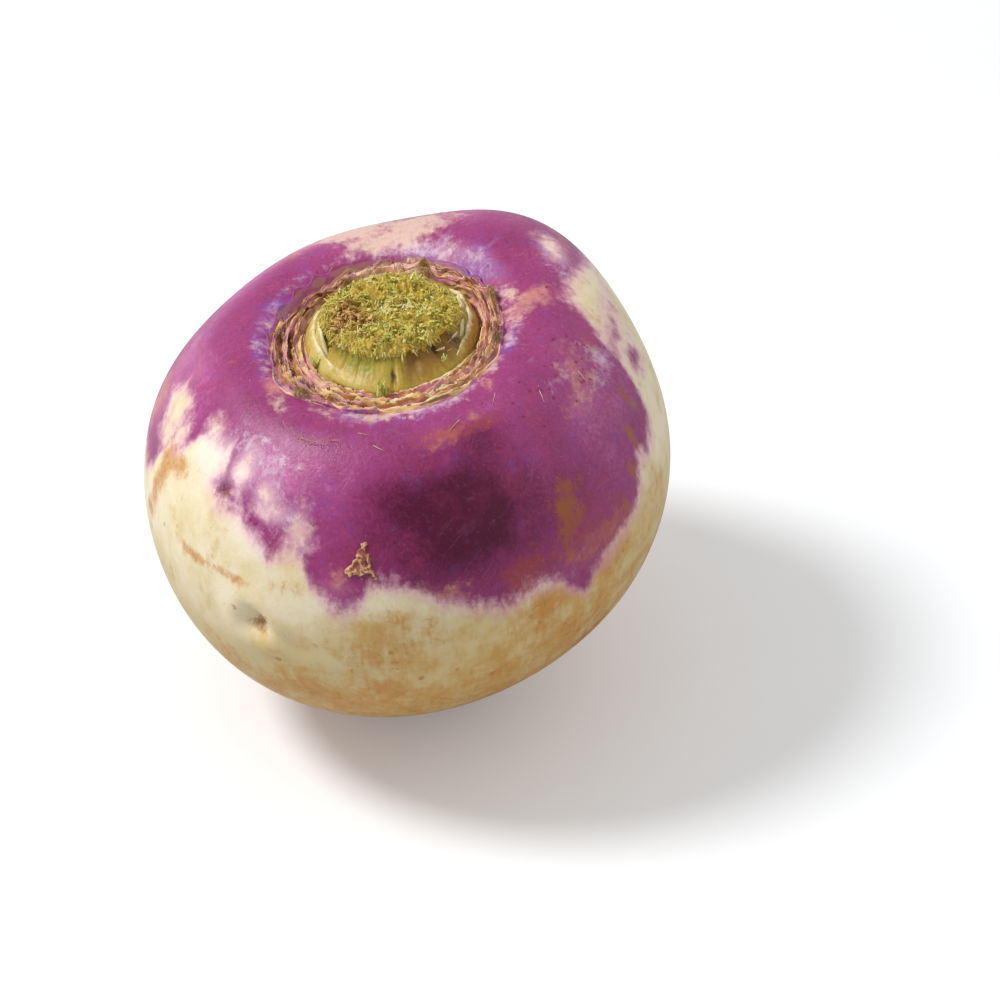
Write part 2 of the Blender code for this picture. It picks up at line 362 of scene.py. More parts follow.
def dimpleRelief(ways, distance):
    start, end = wayTo(*root["dimple"]), wayTo(*root["creaseEnd"])
    fromStart = ways - start
    near = np.linalg.norm(fromStart, axis=-1) * distance
    depth, width = root["dimpleSize"]
    lip = root["lipSize"][0] * bell(near - root["lipSize"][1], width)
    run = end - start
    share = np.clip(fromStart @ run / (run @ run), 0, 1)
    aside = np.linalg.norm(fromStart - share[:, None] * run, axis=-1) * distance
    crease = root["creaseSize"][0] * bell(aside, root["creaseSize"][1]) * (1 - share ** 3)
    return lip - depth * bell(near, width) - crease


def inScarZone(down):
    return (down > root["scarZone"][0]) & (down < root["scarZone"][1])


def rootDistance(ways):
    down = downOf(ways)
    around = aroundOf(ways)
    across = np.sin(np.radians(down))
    lobes = root["threeLobes"][0] * np.cos(np.radians(3 * (around - root["threeLobes"][1]))) * across ** 3
    lobes += root["oval"][0] * np.cos(np.radians(2 * (around - root["oval"][1]))) * across ** 2
    distance = smoothThrough(root["outline"], down) * (1 + lobes)
    start, run = root["swellingStart"]
    for swellDown, swellAround, rise, spread in root["swellings"]:
        away = np.degrees(np.arccos(np.clip(ways @ wayTo(swellDown, swellAround), -1, 1)))
        distance += rise * bell(away, spread) * eased((down - start) / run)
    scarred = inScarZone(down)
    distance[scarred] += scarRelief(ways[scarred] * distance[scarred, None])
    radius = np.linalg.norm((ways * distance[:, None])[:, :2] - root["seatPlace"], axis=-1)
    upper = down < root["scarZone"][1]
    beyond = np.where(upper, eased((radius - root["seatEdge"][0]) / root["seatEdge"][1]), 1)
    flat = root["seatHeight"] / np.where(upper, ways[:, 2], 1)
    distance = distance * beyond + flat * (1 - beyond)
    return distance + dimpleRelief(ways, distance)


def addSkin():
    ringAngles = np.concatenate(
        [np.linspace(start, end, count, endpoint=False) for start, end, count in root["rings"]] + [[180]])
    rings = len(ringAngles) - 1
    skin = newPiece(
        bpy.ops.mesh.primitive_uv_sphere_add, segments=root["segments"], ring_count=rings, radius=1)
    skin.name = "turnip_skin"
    points = pointsOf(skin)
    ways = wayTo(np.interp(downOf(points), np.linspace(0, 180, rings + 1), ringAngles), aroundOf(points))
    movePoints(skin, ways * (rootDistance(ways) - root["inset"])[:, None])
    skin.data.transform(rootPlace)
    # the trimmed underside
    pickOnly(skin)
    bpy.ops.object.mode_set(mode="EDIT")
    bpy.ops.mesh.select_all(action="SELECT")
    floor = cadBox[0][2] + root["offFloor"] * mm
    bpy.ops.mesh.bisect(
        plane_co=(0, 0, floor), plane_no=(0, 0, -1), use_fill=True, clear_outer=True, threshold=1e-6)
    bpy.ops.mesh.select_all(action="DESELECT")
    bpy.ops.object.mode_set(mode="OBJECT")
    bpy.ops.object.shade_smooth()
    return skin


markings = dict(
    # the lower edge of the purple cap: degrees round, and degrees down from the crown
    capEdge=((0, 53), (3, 51), (5, 48), (9, 45), (18, 45.5), (23, 50), (30, 55), (40, 60), (55, 62),
        (75, 58), (90, 64), (110, 70), (130, 76), (150, 74), (165, 79), (180, 74), (190, 75), (195, 70),
        (198, 62), (200, 58), (203, 59.5), (206, 58), (208, 54), (211, 50.5), (216, 49.5), (222, 49),
        (225, 57), (228, 60), (233, 60), (236, 63), (240, 64), (243, 66.5), (246, 65), (249, 63), (251, 64),
        (253, 70), (256, 73), (260, 75.5), (264, 74), (266, 70), (269, 69.5), (273, 71), (278, 73),
        (282, 76), (286, 77.5), (290, 80), (293, 81.5), (296, 81), (300, 80), (304, 80), (308, 83),
        (312, 88), (314, 90), (317, 86), (321, 85), (326, 83.5), (331, 82), (335, 81), (338, 76.5),
        (341, 73), (345, 75), (349, 74), (352, 71), (355, 66), (358, 58), (360, 53)),
    # cream windows in the cap and purple islands in the cream: down, around, half sizes in degrees
    windows=((51, 76, 2.5, 6), (59, 112, 3, 5), (68, 141, 3, 3.5), (46, 33, 2, 4), (56.5, 191.5, 5, 8),
        (57.5, 200, 3.5, 4), (61, 194, 4, 5), (49.5, 212, 1.6, 3), (55, 238.5, 1.6, 2.4),
        (57.5, 241, 1.2, 3), (61, 249.5, 3, 1.4), (53, 229, 4, 3)),
    islands=((57.8, 226.5, 2.6, 3), (57.3, 3, 1, 6), (64, 4, 2, 3), (65, 66, 1.8, 3), (73, 117, 1.8, 5),
        (62, 44, 1.6, 3), (69, 98, 2.5, 4), (81, 136, 1.6, 4), (79, 158, 2.2, 3)),
    streakRadius=42,
)


def blob(down, around, middleDown, middleAround, halfDown, halfAround):
    # degrees inside the rim of an oval, negative outside
    y = (down - middleDown) / halfDown
    x = turned(around, middleAround) / halfAround
    return (1 - np.hypot(x, y)) * min(halfDown, halfAround * math.sin(math.radians(middleDown)))


def glow(down, around, spots):
    total = np.zeros(len(down))
    for middleDown, middleAround, halfDown, halfAround, strength in spots:
        reach = np.hypot((down - middleDown) / halfDown, turned(around, middleAround) / halfAround)
        total += strength * np.exp(-reach ** 2.2)
    return total


# Soft ovals where each tint gathers: down, around, half sizes in degrees, strength.
tints = dict(
    deep=((58, 226.5, 2.6, 3, 0.4), (60, 290, 13, 19, 0.46), (53, 273, 6, 10, 0.3), (60, 293, 11, 14, 0.3),
        (61, 279, 9, 9, 0.14), (38, 215, 5, 40, 0.1), (43, 158, 5, 14, 0.1), (49, 256, 6, 12, -0.16),
        (54, 178, 12, 20, -0.34), (52, 340, 9, 18, -0.08), (45, 302, 5, 8, 0.3), (39, 44, 6, 16, 0.1),
        (50, 238, 7, 12, -0.36), (66, 261, 5, 6, 0.1), (40, 300, 3.5, 30, -0.14), (61, 342, 8, 11, -0.2),
        (47, 198, 5, 10, -0.15), (70, 258, 4, 5, -0.2), (66, 330, 8, 9, -0.05), (46, 62, 8, 14, -0.25),
        (47, 130, 6, 30, -0.3)),
    peach=((38.5, 11, 4.5, 6, 0.85), (34.5, 3, 2, 6, 0.6), (48, 346, 5, 12, 0.5), (54, 340, 4, 14, 0.4),
        (35.5, 319, 2.5, 4, 0.6), (66, 178, 6, 8, 0.9), (76, 186, 5, 6, 0.8), (48, 185, 4, 8, 0.35),
        (34, 214, 2.4, 8, 0.8), (42, 291, 2.6, 8, 0.7), (40, 303, 2, 6, 0.5), (33, 0, 1.8, 400, 0.25),
        (52, 35, 5, 10, 0.5), (46, 120, 4, 16, 0.6), (58, 172, 8, 9, 0.3), (70, 260, 4, 5, 0.5),
        (75, 284, 3, 6, 0.5), (80, 318, 4, 14, 0.6)),
    blush=((41, 78, 6, 13, 0.95), (46, 104, 5, 14, 1), (35, 92, 3, 18, 0.8), (41, 100, 4, 10, 0.8),
        (36.5, 226, 1.8, 7, 0.5), (48, 235, 4, 14, 0.2), (33.5, 275, 2.2, 30, 0.5),
        (33.8, 264, 2.2, 10, 0.5), (33.5, 330, 1.8, 20, 0.45), (34, 10, 2, 12, 0.5), (34, 195, 2, 10, 0.3),
        (60, 250, 3, 4, 0.5)),
    violet=((33, 256, 2, 9, 0.8), (32, 42, 3, 18, 0.9), (35, 268, 4, 3, 0.4), (33, 160, 3, 40, 0.5),
        (34, 350, 2.5, 12, 0.75), (33, 300, 2.5, 30, 0.4), (32, 80, 3, 20, 0.4), (56, 355, 3, 16, 0.3),
        (48, 28, 7, 8, 0.4), (58, 330, 5, 14, 0.25), (33, 190, 2.5, 20, 0.2)),
    haze=((52, 222, 8, 16, 0.3), (46, 228, 4, 12, 0.4), (51, 240, 6, 9, 0.5), (46, 25, 6, 9, 0.55),
        (55, 352, 3, 16, 0.5), (33.5, 295, 2.8, 30, 0.6), (33, 75, 2.5, 24, 0.5), (33, 165, 2, 30, 0.15),
        (35, 185, 3, 10, 0.15), (34.5, 354, 2.6, 16, 0.35), (52, 354, 5, 3, 0.6), (47, 337, 2.5, 10, 0.4),
        (33, 0, 2, 400, 0.25), (60, 246, 5, 7, 0.5)),
    milky=((53, 221, 7, 14, 1), (59, 238, 5, 8, 0.8), (66, 238, 4, 8, 0.5)),
    # golden tint on the front of the underside: partly real tan, partly painted shade where little light
    # reaches
    goldAndPaintedShade=((95, 300, 14, 52, 0.6), (86, 322, 6, 22, 0.6), (81, 265, 8, 10, 0.7), (101, 255, 8, 22, 0.45),
        (96, 228, 5, 7, 0.35), (84, 340, 9, 10, 0.3), (73, 8, 9, 12, 0.2)),
    tan=((62, 201, 3.6, 6.5, 1), (62, 209, 3, 4, 1), (67, 202, 5, 4, 1), (72, 200, 4, 3, 0.8),
        (65.5, 177, 3, 5, 0.9), (79, 199, 2.5, 3, 0.8), (75, 222, 1.5, 6, 1.3), (74.3, 234, 1.3, 5, 1.2),
        (58, 191, 3, 3, 0.5), (88, 266, 13, 8, 0.5), (83, 276, 5, 7, 0.45), (84, 300, 6, 8, 0.35),
        (95, 230, 6, 4, 0.5), (100, 300, 9, 40, 0.2), (102, 250, 6, 14, 0.3), (78, 200, 6, 5, 0.5),
        (72, 250, 3, 4, 0.5), (87, 303, 9, 7, 0.4), (95, 318, 12, 16, 0.35), (87, 318, 4, 14, 0.45),
        (66, 357, 3, 2, 0.7), (84, 344, 6, 3, 0.45), (88, 213, 6, 3, 0.4), (96, 250, 7, 5, 0.35),
        (41, 118, 2.5, 3, 0.9), (49, 46, 3, 4, 0.8)),
    brown=((66, 316.5, 4.6, 4, 0.7), (71, 314.5, 5, 4, 0.7), (76, 310.5, 3.5, 3.5, 0.5),
        # the spot at 84 down, 240.2 round sits in the dimple: partly its own brown, partly painted shade in
        # the hollow
        (84, 240.2, 1.5, 2, 1.1), (58.2, 227.4, 0.9, 1, 1.2), (64, 349.5, 5, 1.5, 1),
        (69, 342.5, 4, 1.5, 1.1), (74, 337, 3, 1.6, 1.1), (79, 331, 3, 2, 0.7), (52, 356, 4, 1.4, 0.7),
        (110, 318, 3.5, 7, 0.9)),
    rust=((76, 316, 8, 14, 0.6), (77, 300, 4, 5, 0.6), (81, 325, 5, 10, 0.5), (67, 317, 7, 7, 0.45),
        (41.5, 292, 2.6, 12, 0.9), (43, 309, 2, 6, 0.6), (73, 256, 3, 3, 0.5), (76, 298, 4, 6, 0.45)),
    pores=((48, 343, 8, 13, 0.9), (44, 322, 5, 10, 0.6), (40, 356, 4, 8, 0.5)),
)


def paintSkin(skin):
    upright = pointsOf(skin) / mm - np.array(stance["belly"])
    upright = upright @ np.array(leanTurn().to_3x3())  # the rows times the turn undo the lean
    ways = upright / np.linalg.norm(upright, axis=1)[:, None]
    down = downOf(ways)
    around = aroundOf(ways) % 360
    edgeX, edgeY = np.array(markings["capEdge"], float).T
    purple = np.interp(around, edgeX, edgeY) - down
    for window in markings["windows"]:
        purple = np.minimum(purple, -blob(down, around, *window))
    for island in markings["islands"]:
        purple = np.maximum(purple, blob(down, around, *island))
    scarred = inScarZone(down)
    ridge = np.zeros(len(down))
    ridge[scarred] = scarRelief(upright[scarred])
    wide = markings["streakRadius"]
    streaks = wallPoints(np.radians(around), wide * np.sin(np.radians(down)), wide * np.radians(down))
    storeFields(skin, purple=purple, down=down, ridge=ridge, streaks=streaks,
                **{name: glow(down, around, spots) for name, spots in tints.items()})


skinColours = dict(
    cream="F6E8C8",
    creamShade="EAD6A4",
    milky="FFF1E6",
    straw="E0C890",
    goldAndPaintedShade="D6AC5C",
    tan="D08E40",
    russet="A8681E",
    wash="E7A4C4",
    lilac="C66CA4",
    mid="9E3C78",
    strong="84265A",
    deep="56002E",
    peach="E09C86",
    blush="EBCBB8",
    violet="8254B2",
    haze="E9D0E6",
    brown="A8641E",
    rust="A8483A",
    speck="D093C4",
    darkSpeck="6A1A50",
    redDot="8A2038",
    tanDot="B87A34",
    rosy="B8406A",
    seat="A87C54",
    scar="C09478",
)


def skinFinish():
    skin = Finish("waxy_skin", Roughness=0.4, Specular_IOR_Level=0.34,
                  **juicy(0.06, 0.0015, (1, 0.5, 0.35)))
    flow = skin.field("streaks", "Vector")
    broad = skin.sway(0.12, detail=4)
    clumps = skin.sway(0.3, detail=3, roughness=0.55, shift=11)
    ragged = skin.sway(0.75, detail=5, roughness=0.62)
    specks = skin.sway(2.1, detail=4, roughness=0.65, shift=5)
    fine = skin.sway(3.2, detail=3)
    strands = skin.sway(1.1, detail=4, roughness=0.6, place=flow, stretch=(1, 1, 0.28))
    threads = skin.sway(3.6, detail=3, roughness=0.65, place=flow, stretch=(1, 1, 0.14), shift=5)
    grain = skin.sway(1.6, detail=4, roughness=0.65, place=flow, stretch=(1, 1, 0.6))
    down = skin.field("down")

    # cream flesh below, turning golden and tan towards the underside; the golden tint on the front of the
    # underside is partly the root's own tan and partly painted shade
    goldAndPaintedShade = skin.field("goldAndPaintedShade")
    warm = (down - 77) * 0.045 + goldAndPaintedShade * 0.6 + broad * 0.2 + clumps * 0.12
    soft = skin.sway(0.22, detail=2, shift=61)
    golden = goldAndPaintedShade * 0.8 + ((down - 92) * 0.03).most(-0.1) + soft * 0.45 + clumps * 0.2 + strands * 0.1
    age = ((down - 98) * 0.03).most(-0.12) + skin.field("tan") + golden * 0.35
    blotched = age + clumps * 0.25 + ragged * 0.25 + strands * 0.3 + fine * 0.12
    upright = skin.sway(1.1, detail=4, roughness=0.7, place=flow, stretch=(1, 1, 0.35), shift=7)
    level = skin.sway(1.3, detail=4, roughness=0.7, place=flow, stretch=(0.35, 0.35, 1), shift=19)
    flecks = upright.most(level) + age * 0.3 + clumps * 0.25
    flesh = skin.layered(
        "cream",
        ((broad * 0.6 + grain * 0.2 + clumps * 0.2 + 0.4).step(0, 1), "creamShade"),
        (warm.step(-0.1, 0.9), "straw"),
        # golden tint, partly painted shade on the front of the underside
        ((golden + ragged * 0.12).step(0, 1.1), "goldAndPaintedShade"),
        (blotched.step(0.1, 1.2) * (0.8 + grain * 0.15), "tan"),
        (flecks.step(0.6, 1.15) * 0.6, "russet"),
        (skin.dots(0.23, 0.1, 0.17) * skin.sway(0.25, detail=2, shift=31).step(0, 0.4) * 0.7, "tanDot"),
        ((skin.field("milky") + clumps * 0.2).step(0.1, 0.9) * 0.8, "milky"))

    # the purple cap: a deep middle, lighter shoulders, and clouds of pink, violet and haze
    depth = skin.field("deep") + 0.5 + broad * 0.12 + clumps * 0.07 + ragged * 0.08
    depth = depth + grain * 0.13 + fine * 0.06
    shallow = 1 - depth.step(0.6, 1.1) * 0.6
    violet = skin.field("violet") + ragged * 0.3 + skin.sway(0.2, detail=3, shift=14) * 0.45 + grain * 0.2
    rosy = skin.sway(0.17, detail=3, shift=33) * 0.7 + ragged * 0.4
    hazy = skin.field("haze") + clumps * 0.35 + ragged * 0.3 + strands * 0.25 + threads * 0.2
    peachy = skin.field("peach") + clumps * 0.35 + ragged * 0.35 + grain * 0.15
    blushing = skin.field("blush") + clumps * 0.35 + ragged * 0.35 + strands * 0.2
    rusty = skin.field("rust") + clumps * 0.25 + ragged * 0.35 + strands * 0.35 + fine * 0.1
    light = (specks * 0.8 + fine * 0.4 + hazy * 0.3).step(0.2, 1.4) * shallow
    # breathing pores are small red dots, closer together where their field gathers them
    gathered = (skin.sway(0.4, detail=1, shift=41) + skin.field("pores") * 1.1).step(0.5, 0.7)
    pores = skin.dots(0.66, 0.14, 0.28) * gathered
    cap = skin.layered(
        "lilac",
        (depth.step(0, 0.45), "mid"),
        (depth.step(0.4, 0.78), "strong"),
        (depth.step(0.68, 1.1), "deep"),
        (violet.step(0.1, 1) * 0.75 * shallow, "violet"),
        (rosy.step(0, 0.9) * 0.4 * shallow, "rosy"),
        (hazy.step(0.2, 1.25) * 0.75 * skin.gate("haze"), "haze"),
        (peachy.step(0.15, 1.1) * (0.68 + grain * 0.12) * skin.gate("peach"), "peach"),
        (blushing.step(0.1, 1.05) * (0.82 + grain * 0.1) * skin.gate("blush"), "blush"),
        (rusty.step(0.1, 1.1) * (0.65 + grain * 0.15) * skin.gate("rust"), "rust"),
        (light * 0.45, "speck"),
        ((clumps * 0.25 - specks * 0.7 - fine * 0.3).step(0.2, 1.1) * 0.55, "darkSpeck"),
        (pores * 0.8, "redDot"))

    # the cap's ragged rim, with a pink wash that runs ahead of it, and brown patches; the one in the dimple
    # is partly painted shade
    edge = skin.field("purple") + clumps * 1.6 + ragged * 1 + strands * 0.7 + threads * 0.2 + fine * 0.25
    patchy = skin.field("brown") + clumps * 0.2 + ragged * 0.35 + strands * 0.3 + fine * 0.12
    # old scars outside the ring are faint dry lines, and the seat under the ring is dry and tan
    dry = skin.field("ridge") + ragged * 0.15 + threads * 0.1
    seat = 1 - (down + ragged * 0.5).step(29.5, 31.5)
    # the trimmed underside is pale with a brown rim
    height = skin.node("SeparateXYZ", {}, {"Vector": skin.objectPlace()}, "Z") / mm
    rim = 1 - (height + ragged * 0.25).step(0.3, 1.1)
    pith = skin.mix((broad + fine * 0.4).step(-0.8, 0.8), "straw", "cream")
    scratches = skin.scratch(0.3, (0.3, 0.9, 0.5), 23) + skin.scratch(0.24, (1.2, 0.2, -0.7), 57)
    scratches = (scratches * skin.sway(0.16, detail=3, shift=27).step(0.1, 0.7)).least(1)
    colour = skin.layered(
        flesh,
        (edge.step(-5, 1) * 0.65, "wash"),
        (edge.step(-1.9, 2.6), cap),
        (patchy.step(0.2, 1.15) * (0.8 + grain * 0.15) * skin.gate("brown"), "brown"),
        (dry.step(0.45, 1.15) * 0.42, "scar"),
        (seat, "seat"),
        (rim * 0.75, "brown"),
        (1 - height.step(0.06, 0.12), pith),
        (scratches * (0.26 - down.step(34, 46) * 0.17), "speck"))
    relief = ragged * 0.16 + fine * 0.08 + threads * 0.1 + specks * 0.1 - scratches * 0.08 - pores * 0.4
    gloss = 0.38 + skin.sway(0.5, detail=3, shift=3) * 0.05 + specks * 0.03
    return skin.feed(Base_Color=colour, Normal=skin.bump(0.7, 0.14, relief), Roughness=gloss)


# The dried scar on the front, a raised crust at the lower edge of the purple. Its shape is in shares of
# its half-size, which is in degrees.
crust = dict(
    down=65.5,
    around=264.5,
    half=4.4,
    foot=-0.75,
    top=0.95,
    narrow=0.14,  # half-width at the top, and how much wider below
    taper=0.42,
    slant=0.4,
    torn=0.3,
    rise=0.5,
    thickness=0.4,
    cells=90,
)


def addCrust():
    cells, half, taper = crust["cells"], crust["half"], crust["taper"]
    piece = newPiece(bpy.ops.mesh.primitive_grid_add, x_subdivisions=cells, y_subdivisions=cells, size=2)
    piece.name = "scar_crust"
    points = pointsOf(piece)
    across, up = points[:, 0], points[:, 1]
    torn = noiseAt(points, 2.3, (4, 0, 0)) + 0.5 * noiseAt(points, 6)
    slope = crust["narrow"] + taper * (crust["top"] - up) - np.abs(across - crust["slant"] * taper * up)
    inside = np.minimum(np.minimum(crust["top"] - up, up - crust["foot"]), slope) + crust["torn"] * torn
    cover = eased(inside / 0.2)
    lumps = ridgesAt(points, 2.6, 0.8)
    down = crust["down"] - up * half
    ways = wayTo(down, crust["around"] + across * half / np.sin(np.radians(down)))
    lift = cover * (0.05 + crust["rise"] * lumps * 0.6) - (1 - cover) * crust["thickness"]
    movePoints(piece, ways * (rootDistance(ways) - root["inset"] + lift)[:, None])
    storeFields(piece, lumps=lumps, cover=cover)
    applyModifier(piece, "SOLIDIFY", thickness=crust["thickness"], offset=-1)
    piece.data.transform(rootPlace)
    bpy.ops.object.shade_smooth()
    return piece


def crustFinish():
    scab = Finish("scar_crust", Roughness=0.7)
    fine = scab.sway(2.6, detail=4, roughness=0.65)
    patchy = scab.sway(0.8, detail=3)
    lumps = scab.field("lumps") - 1
    colour = scab.layered(
        "9E5A3E",
        ((lumps * 0.8 + fine * 0.3 + 0.3).step(0, 0.9), "EAC294"),
        ((patchy * 0.5 + fine * 0.4).step(0.2, 0.8) * 0.6, "B0658A"),
        ((0.6 - scab.field("cover") + fine * 0.2).step(0, 0.5), "8A4068"))
    return scab.feed(Base_Color=colour, Normal=scab.bump(0.6, 0.12, fine * 0.3))


print("shaping the skin")
skin = addSkin()
paintSkin(skin)
skin.data.materials.append(skinFinish())
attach(skin, "root")
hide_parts("bulb")
scab = addCrust()
scab.data.materials.append(crustFinish())
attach(scab, "root")


# The crown, all of it in millimetres round the stub's own foot until settle() puts it in place.
stub = dict(
    segments=480,
    place=(1.4, 0.5, 29.2),
    side=((9, 0), (13.3, 0), (14, 0.6), (13.7, 1.3), (12.8, 2.1), (11.9, 3), (11.3, 3.9), (11.2, 4.6)),
    sideRows=50,
    domeRows=56,
    domeRise=2.2,
    domeSquareness=2.4,
    domeDepth=0.88,
    # sheaths and hollows: azimuth, half-width in degrees, height of the middle, half-height, how far out
    swells=((262, 26, 1.2, 1.8, 0.5), (178, 34, 2.2, 2.2, 0.6), (4, 13, 3.2, 1.8, 1.1),
        (45, 24, 1.2, 1.6, 0.4), (318, 22, 3.2, 1.7, -1.7), (289, 5, 2.8, 1.8, -1.3),
        (216, 6, 2.6, 1.6, -0.7)),
    # nicks: the notch by the sprig, three slits on the left, the bud's hole
    nicks=((272.5, 1.6, 1.6, 1.1, -1.1), (206, 3.2, 4.1, 0.2, -1.1), (209, 3.4, 3.3, 0.2, -1.1),
        (201, 3, 4.7, 0.16, -0.8), (314, 3, 2.7, 0.5, -1), (246, 1.4, 3, 1.2, -0.4),
        (233, 1.6, 3.2, 1.4, -0.4)),
    hollows=((42, 26, 10.4, 0.9, 1.6), (160, 50, 1.8, 1.3, 1.1), (70, 50, 7.5, 1.8, -0.6),
        (345, 36, 6.5, 1.6, -0.8), (205, 24, 5, 1.6, 0.8), (285, 30, 5.5, 1.2, 0.7), (15, 30, 3.6, 1, 0.7)),
    grooves=(0.09, 3.2),
    roughness=((1.1, 0.5), (0.3, 2.4)),  # rise and waves, also below
    crumple=(1, 0.7),
    browned=((-7, -1.5, 3.4, 4.6, 1.1), (-2.9, -3, 1.3, 1.3, 0.8), (-1.9, -7.8, 1.6, 1.2, 0.5)),
)


def domeHeight(radius):
    rim, foot = stub["side"][-1]
    share = np.minimum(1, radius / rim)
    return foot + stub["domeRise"] * (1 - share ** stub["domeSquareness"]) ** (1 / stub["domeSquareness"])


def bells(around, other, spots):
    # azimuth, half-width, middle and half-size the other way, strength
    return sum(strength * bell(turned(around, azimuth), spread) * bell(other - middle, half)
               for azimuth, spread, middle, half, strength in spots)


def stubPoint(points):
    # where the stub's sheaths, hollows and rough dome move points of its plain turned shape
    around = aroundOf(points)
    radius = np.hypot(points[:, 0], points[:, 1])
    height = points[:, 2]
    rim, foot = stub["side"][-1]
    out = bells(around, height, stub["swells"] + stub["nicks"])
    depth, waves = stub["grooves"]
    wall = wallPoints(np.radians(around), 12, height * 0.12)
    out += depth * noiseAt(wall, waves) * eased((height - 0.8) / 2)
    out *= height > 0
    onDome = height >= foot - 0.001
    lift = sum(rough * noiseAt(points, waves) for rough, waves in stub["roughness"])
    rise, waves = stub["crumple"]
    lift += rise * (ridgesAt(points, waves) - 1.1)
    lift -= bells(around, radius, stub["hollows"])
    out = np.where(onDome, out * radius / rim, out + 0.1 * noiseAt(points, 1.7))
    stretch = 1 + out / np.maximum(radius, 1)
    squash = 1 + (stub["domeDepth"] - 1) * eased(height / foot)
    return np.stack([points[:, 0] * stretch, points[:, 1] * stretch * squash, height + lift * onDome], -1)


# Where each colour of the wall gathers, and where shade is painted into its hollows and nicks: azimuth,
# half-width, height, half-height, strength.
stubTints = dict(
    pale=((200, 50, 1.2, 2.6, 1), (245, 28, 0.6, 1.7, 1.1), (300, 60, 0.3, 1, 1), (170, 30, 3.2, 1.6, 0.7)),
    green=((248, 20, 3.6, 1.5, 1.1), (300, 30, 4.4, 0.8, 0.8), (225, 14, 4.2, 0.9, 0.8)),
    # painted shade in the three hollows of the wall
    painted_hollow_shade=((316, 26, 3, 2, 1.1), (288, 12, 2.6, 1.9, 0.7), (216, 9, 3, 1.2, 0.5)),
    # painted shade inside the notch, the three slits and the bud's hole, and in a patch beside them; the
    # bud's hole is partly its own red-brown
    painted_nick_shade=((272.5, 2.4, 2, 1.3, 0.85), (206, 4, 4.1, 0.3, 1), (209, 4, 3.3, 0.3, 1),
        (201, 3.5, 4.7, 0.25, 0.9), (314, 3.6, 2.7, 0.6, 1.1), (335, 8, 2.5, 2.2, 0.7)),
)


def smoothRows(points, count):
    # points along a smooth curve through the given ones, even in length
    given = [Vector((*p, 0)) for p in points]
    lengths = [0]
    for a, b in zip(given, given[1:]):
        lengths.append(lengths[-1] + (b - a).length)
    at = np.linspace(0, lengths[-1], count)
    return list(zip(*(smoothThrough(list(zip(lengths, [p[k] for p in points])), at) for k in (0, 1))))


def brownedAt(points):
    # the dried, rusty part of the dome, on its left, and two dark pits
    x, y = points[:, 0], points[:, 1]
    return sum(strength * bell(np.hypot((x - left) / halfX, (y - front) / halfY), 1)
               for left, front, halfX, halfY, strength in stub["browned"])


def addStub():
    rows = smoothRows(stub["side"], stub["sideRows"])
    rim, foot = stub["side"][-1]
    turns = [math.pi / 2 * i / stub["domeRows"] for i in range(1, stub["domeRows"])]
    rows += [(rim * math.cos(t), float(domeHeight(rim * math.cos(t)))) for t in turns]
    piece = newPiece(
        bpy.ops.mesh.primitive_circle_add, vertices=stub["segments"], radius=rows[0][0], fill_type="TRIFAN")
    piece.name = "stalk_stub"
    raiseRows(rows)
    plain = pointsOf(piece)
    around = aroundOf(plain)
    height = plain[:, 2]
    onWall = height < foot + 0.3
    shaped = stubPoint(plain)
    storeFields(piece, dome=eased((height - foot + 0.5) / 0.7), browned=brownedAt(shaped),
                fibres=wallPoints(np.radians(around), 12, height),
                **{name: bells(around, height, spots) * onWall for name, spots in stubTints.items()})
    movePoints(piece, shaped)
    bpy.ops.object.shade_smooth()
    return piece


# One tapering strip, copied for every frayed fibre, papery flake, leaf blade and hair.
strip = dict(
    parts=6,
    tip=0.15,  # its width there
    curls=(0.6, 2.2, 3.2, -1.4, 4.2),
)


def addStrip(curl):
    # stands 1 tall and 1 wide, then bends over by the curl, in radians
    model = newPiece(bpy.ops.mesh.primitive_circle_add, vertices=4, radius=0.5, fill_type="NGON")
    shares = [i / strip["parts"] for i in range(strip["parts"] + 1)]
    raiseRows([(1 - (1 - strip["tip"]) * share ** 2, share) for share in shares])
    points = pointsOf(model)
    bend = curl * points[:, 2]
    rise = np.sin(bend) / curl
    over = (1 - np.cos(bend)) / curl
    movePoints(model, np.stack([points[:, 0], points[:, 1] * 0.5 + over, rise], -1))
    return model


def scatter(name, models, copies):
    # one mesh from many copies of the models, each with its place and a tone of its own
    shapes = [(pointsOf(model), [tuple(face.vertices) for face in model.data.polygons]) for model in models]
    points, faces, shades = [], [], []
    for i, (place, tone) in enumerate(copies):
        base, sides = shapes[i % len(shapes)]
        points.append(base @ np.array(place.to_3x3()).T + np.array(place.translation))
        faces += [tuple(v + len(shades) for v in side) for side in sides]
        shades += [tone] * len(base)
    made = bpy.data.meshes.new(name)
    made.from_pydata(np.concatenate(points).tolist(), [], faces)
    piece = bpy.data.objects.new(name, made)
    bpy.context.scene.collection.objects.link(piece)
    storeFields(piece, tone=shades)
    for face in made.polygons:
        face.use_smooth = True
    return piece


def lie(foot, heading, tilt, roll, size):
    # a strip at foot that leans by tilt from upright towards heading
    return (Matrix.Translation(foot) @ Matrix.Rotation(heading, 4, "Z") @ Matrix.Rotation(tilt, 4, "Y")
            @ Matrix.Rotation(roll, 4, "Z") @ Matrix.Diagonal((*size, 1)))


shreds = dict(
    count=2700,
    seed=5,
    # two sorts: length, width and thickness of the curled shavings and of the thin fibres
    shavings=((0.8, 1.7), (0.3, 0.75), 0.14),
    fibres=((1, 2.2), (0.1, 0.2), 0.2),
    shavingShare=0.55,
    lying=(50, 92),  # angles from upright
    hanging=(108, 145),
    hangingFrom=0.86,  # from this share of the dome outwards they hang over its edge
    bare=(0.33, 0.12, 0.8),  # bare pulp: how broad its stretches are, how rare, and the share of strips gone
    wornEdge=(282, 328, 0.65),  # a stretch of the edge, by azimuth, that has lost this share
    headings=(0.2, 9),  # how broad the locks are that lie one way, and how far their headings differ
    locks=(0.45, 0.5, 0.8),  # how broad the locks of one tone are, its middle and its range
)


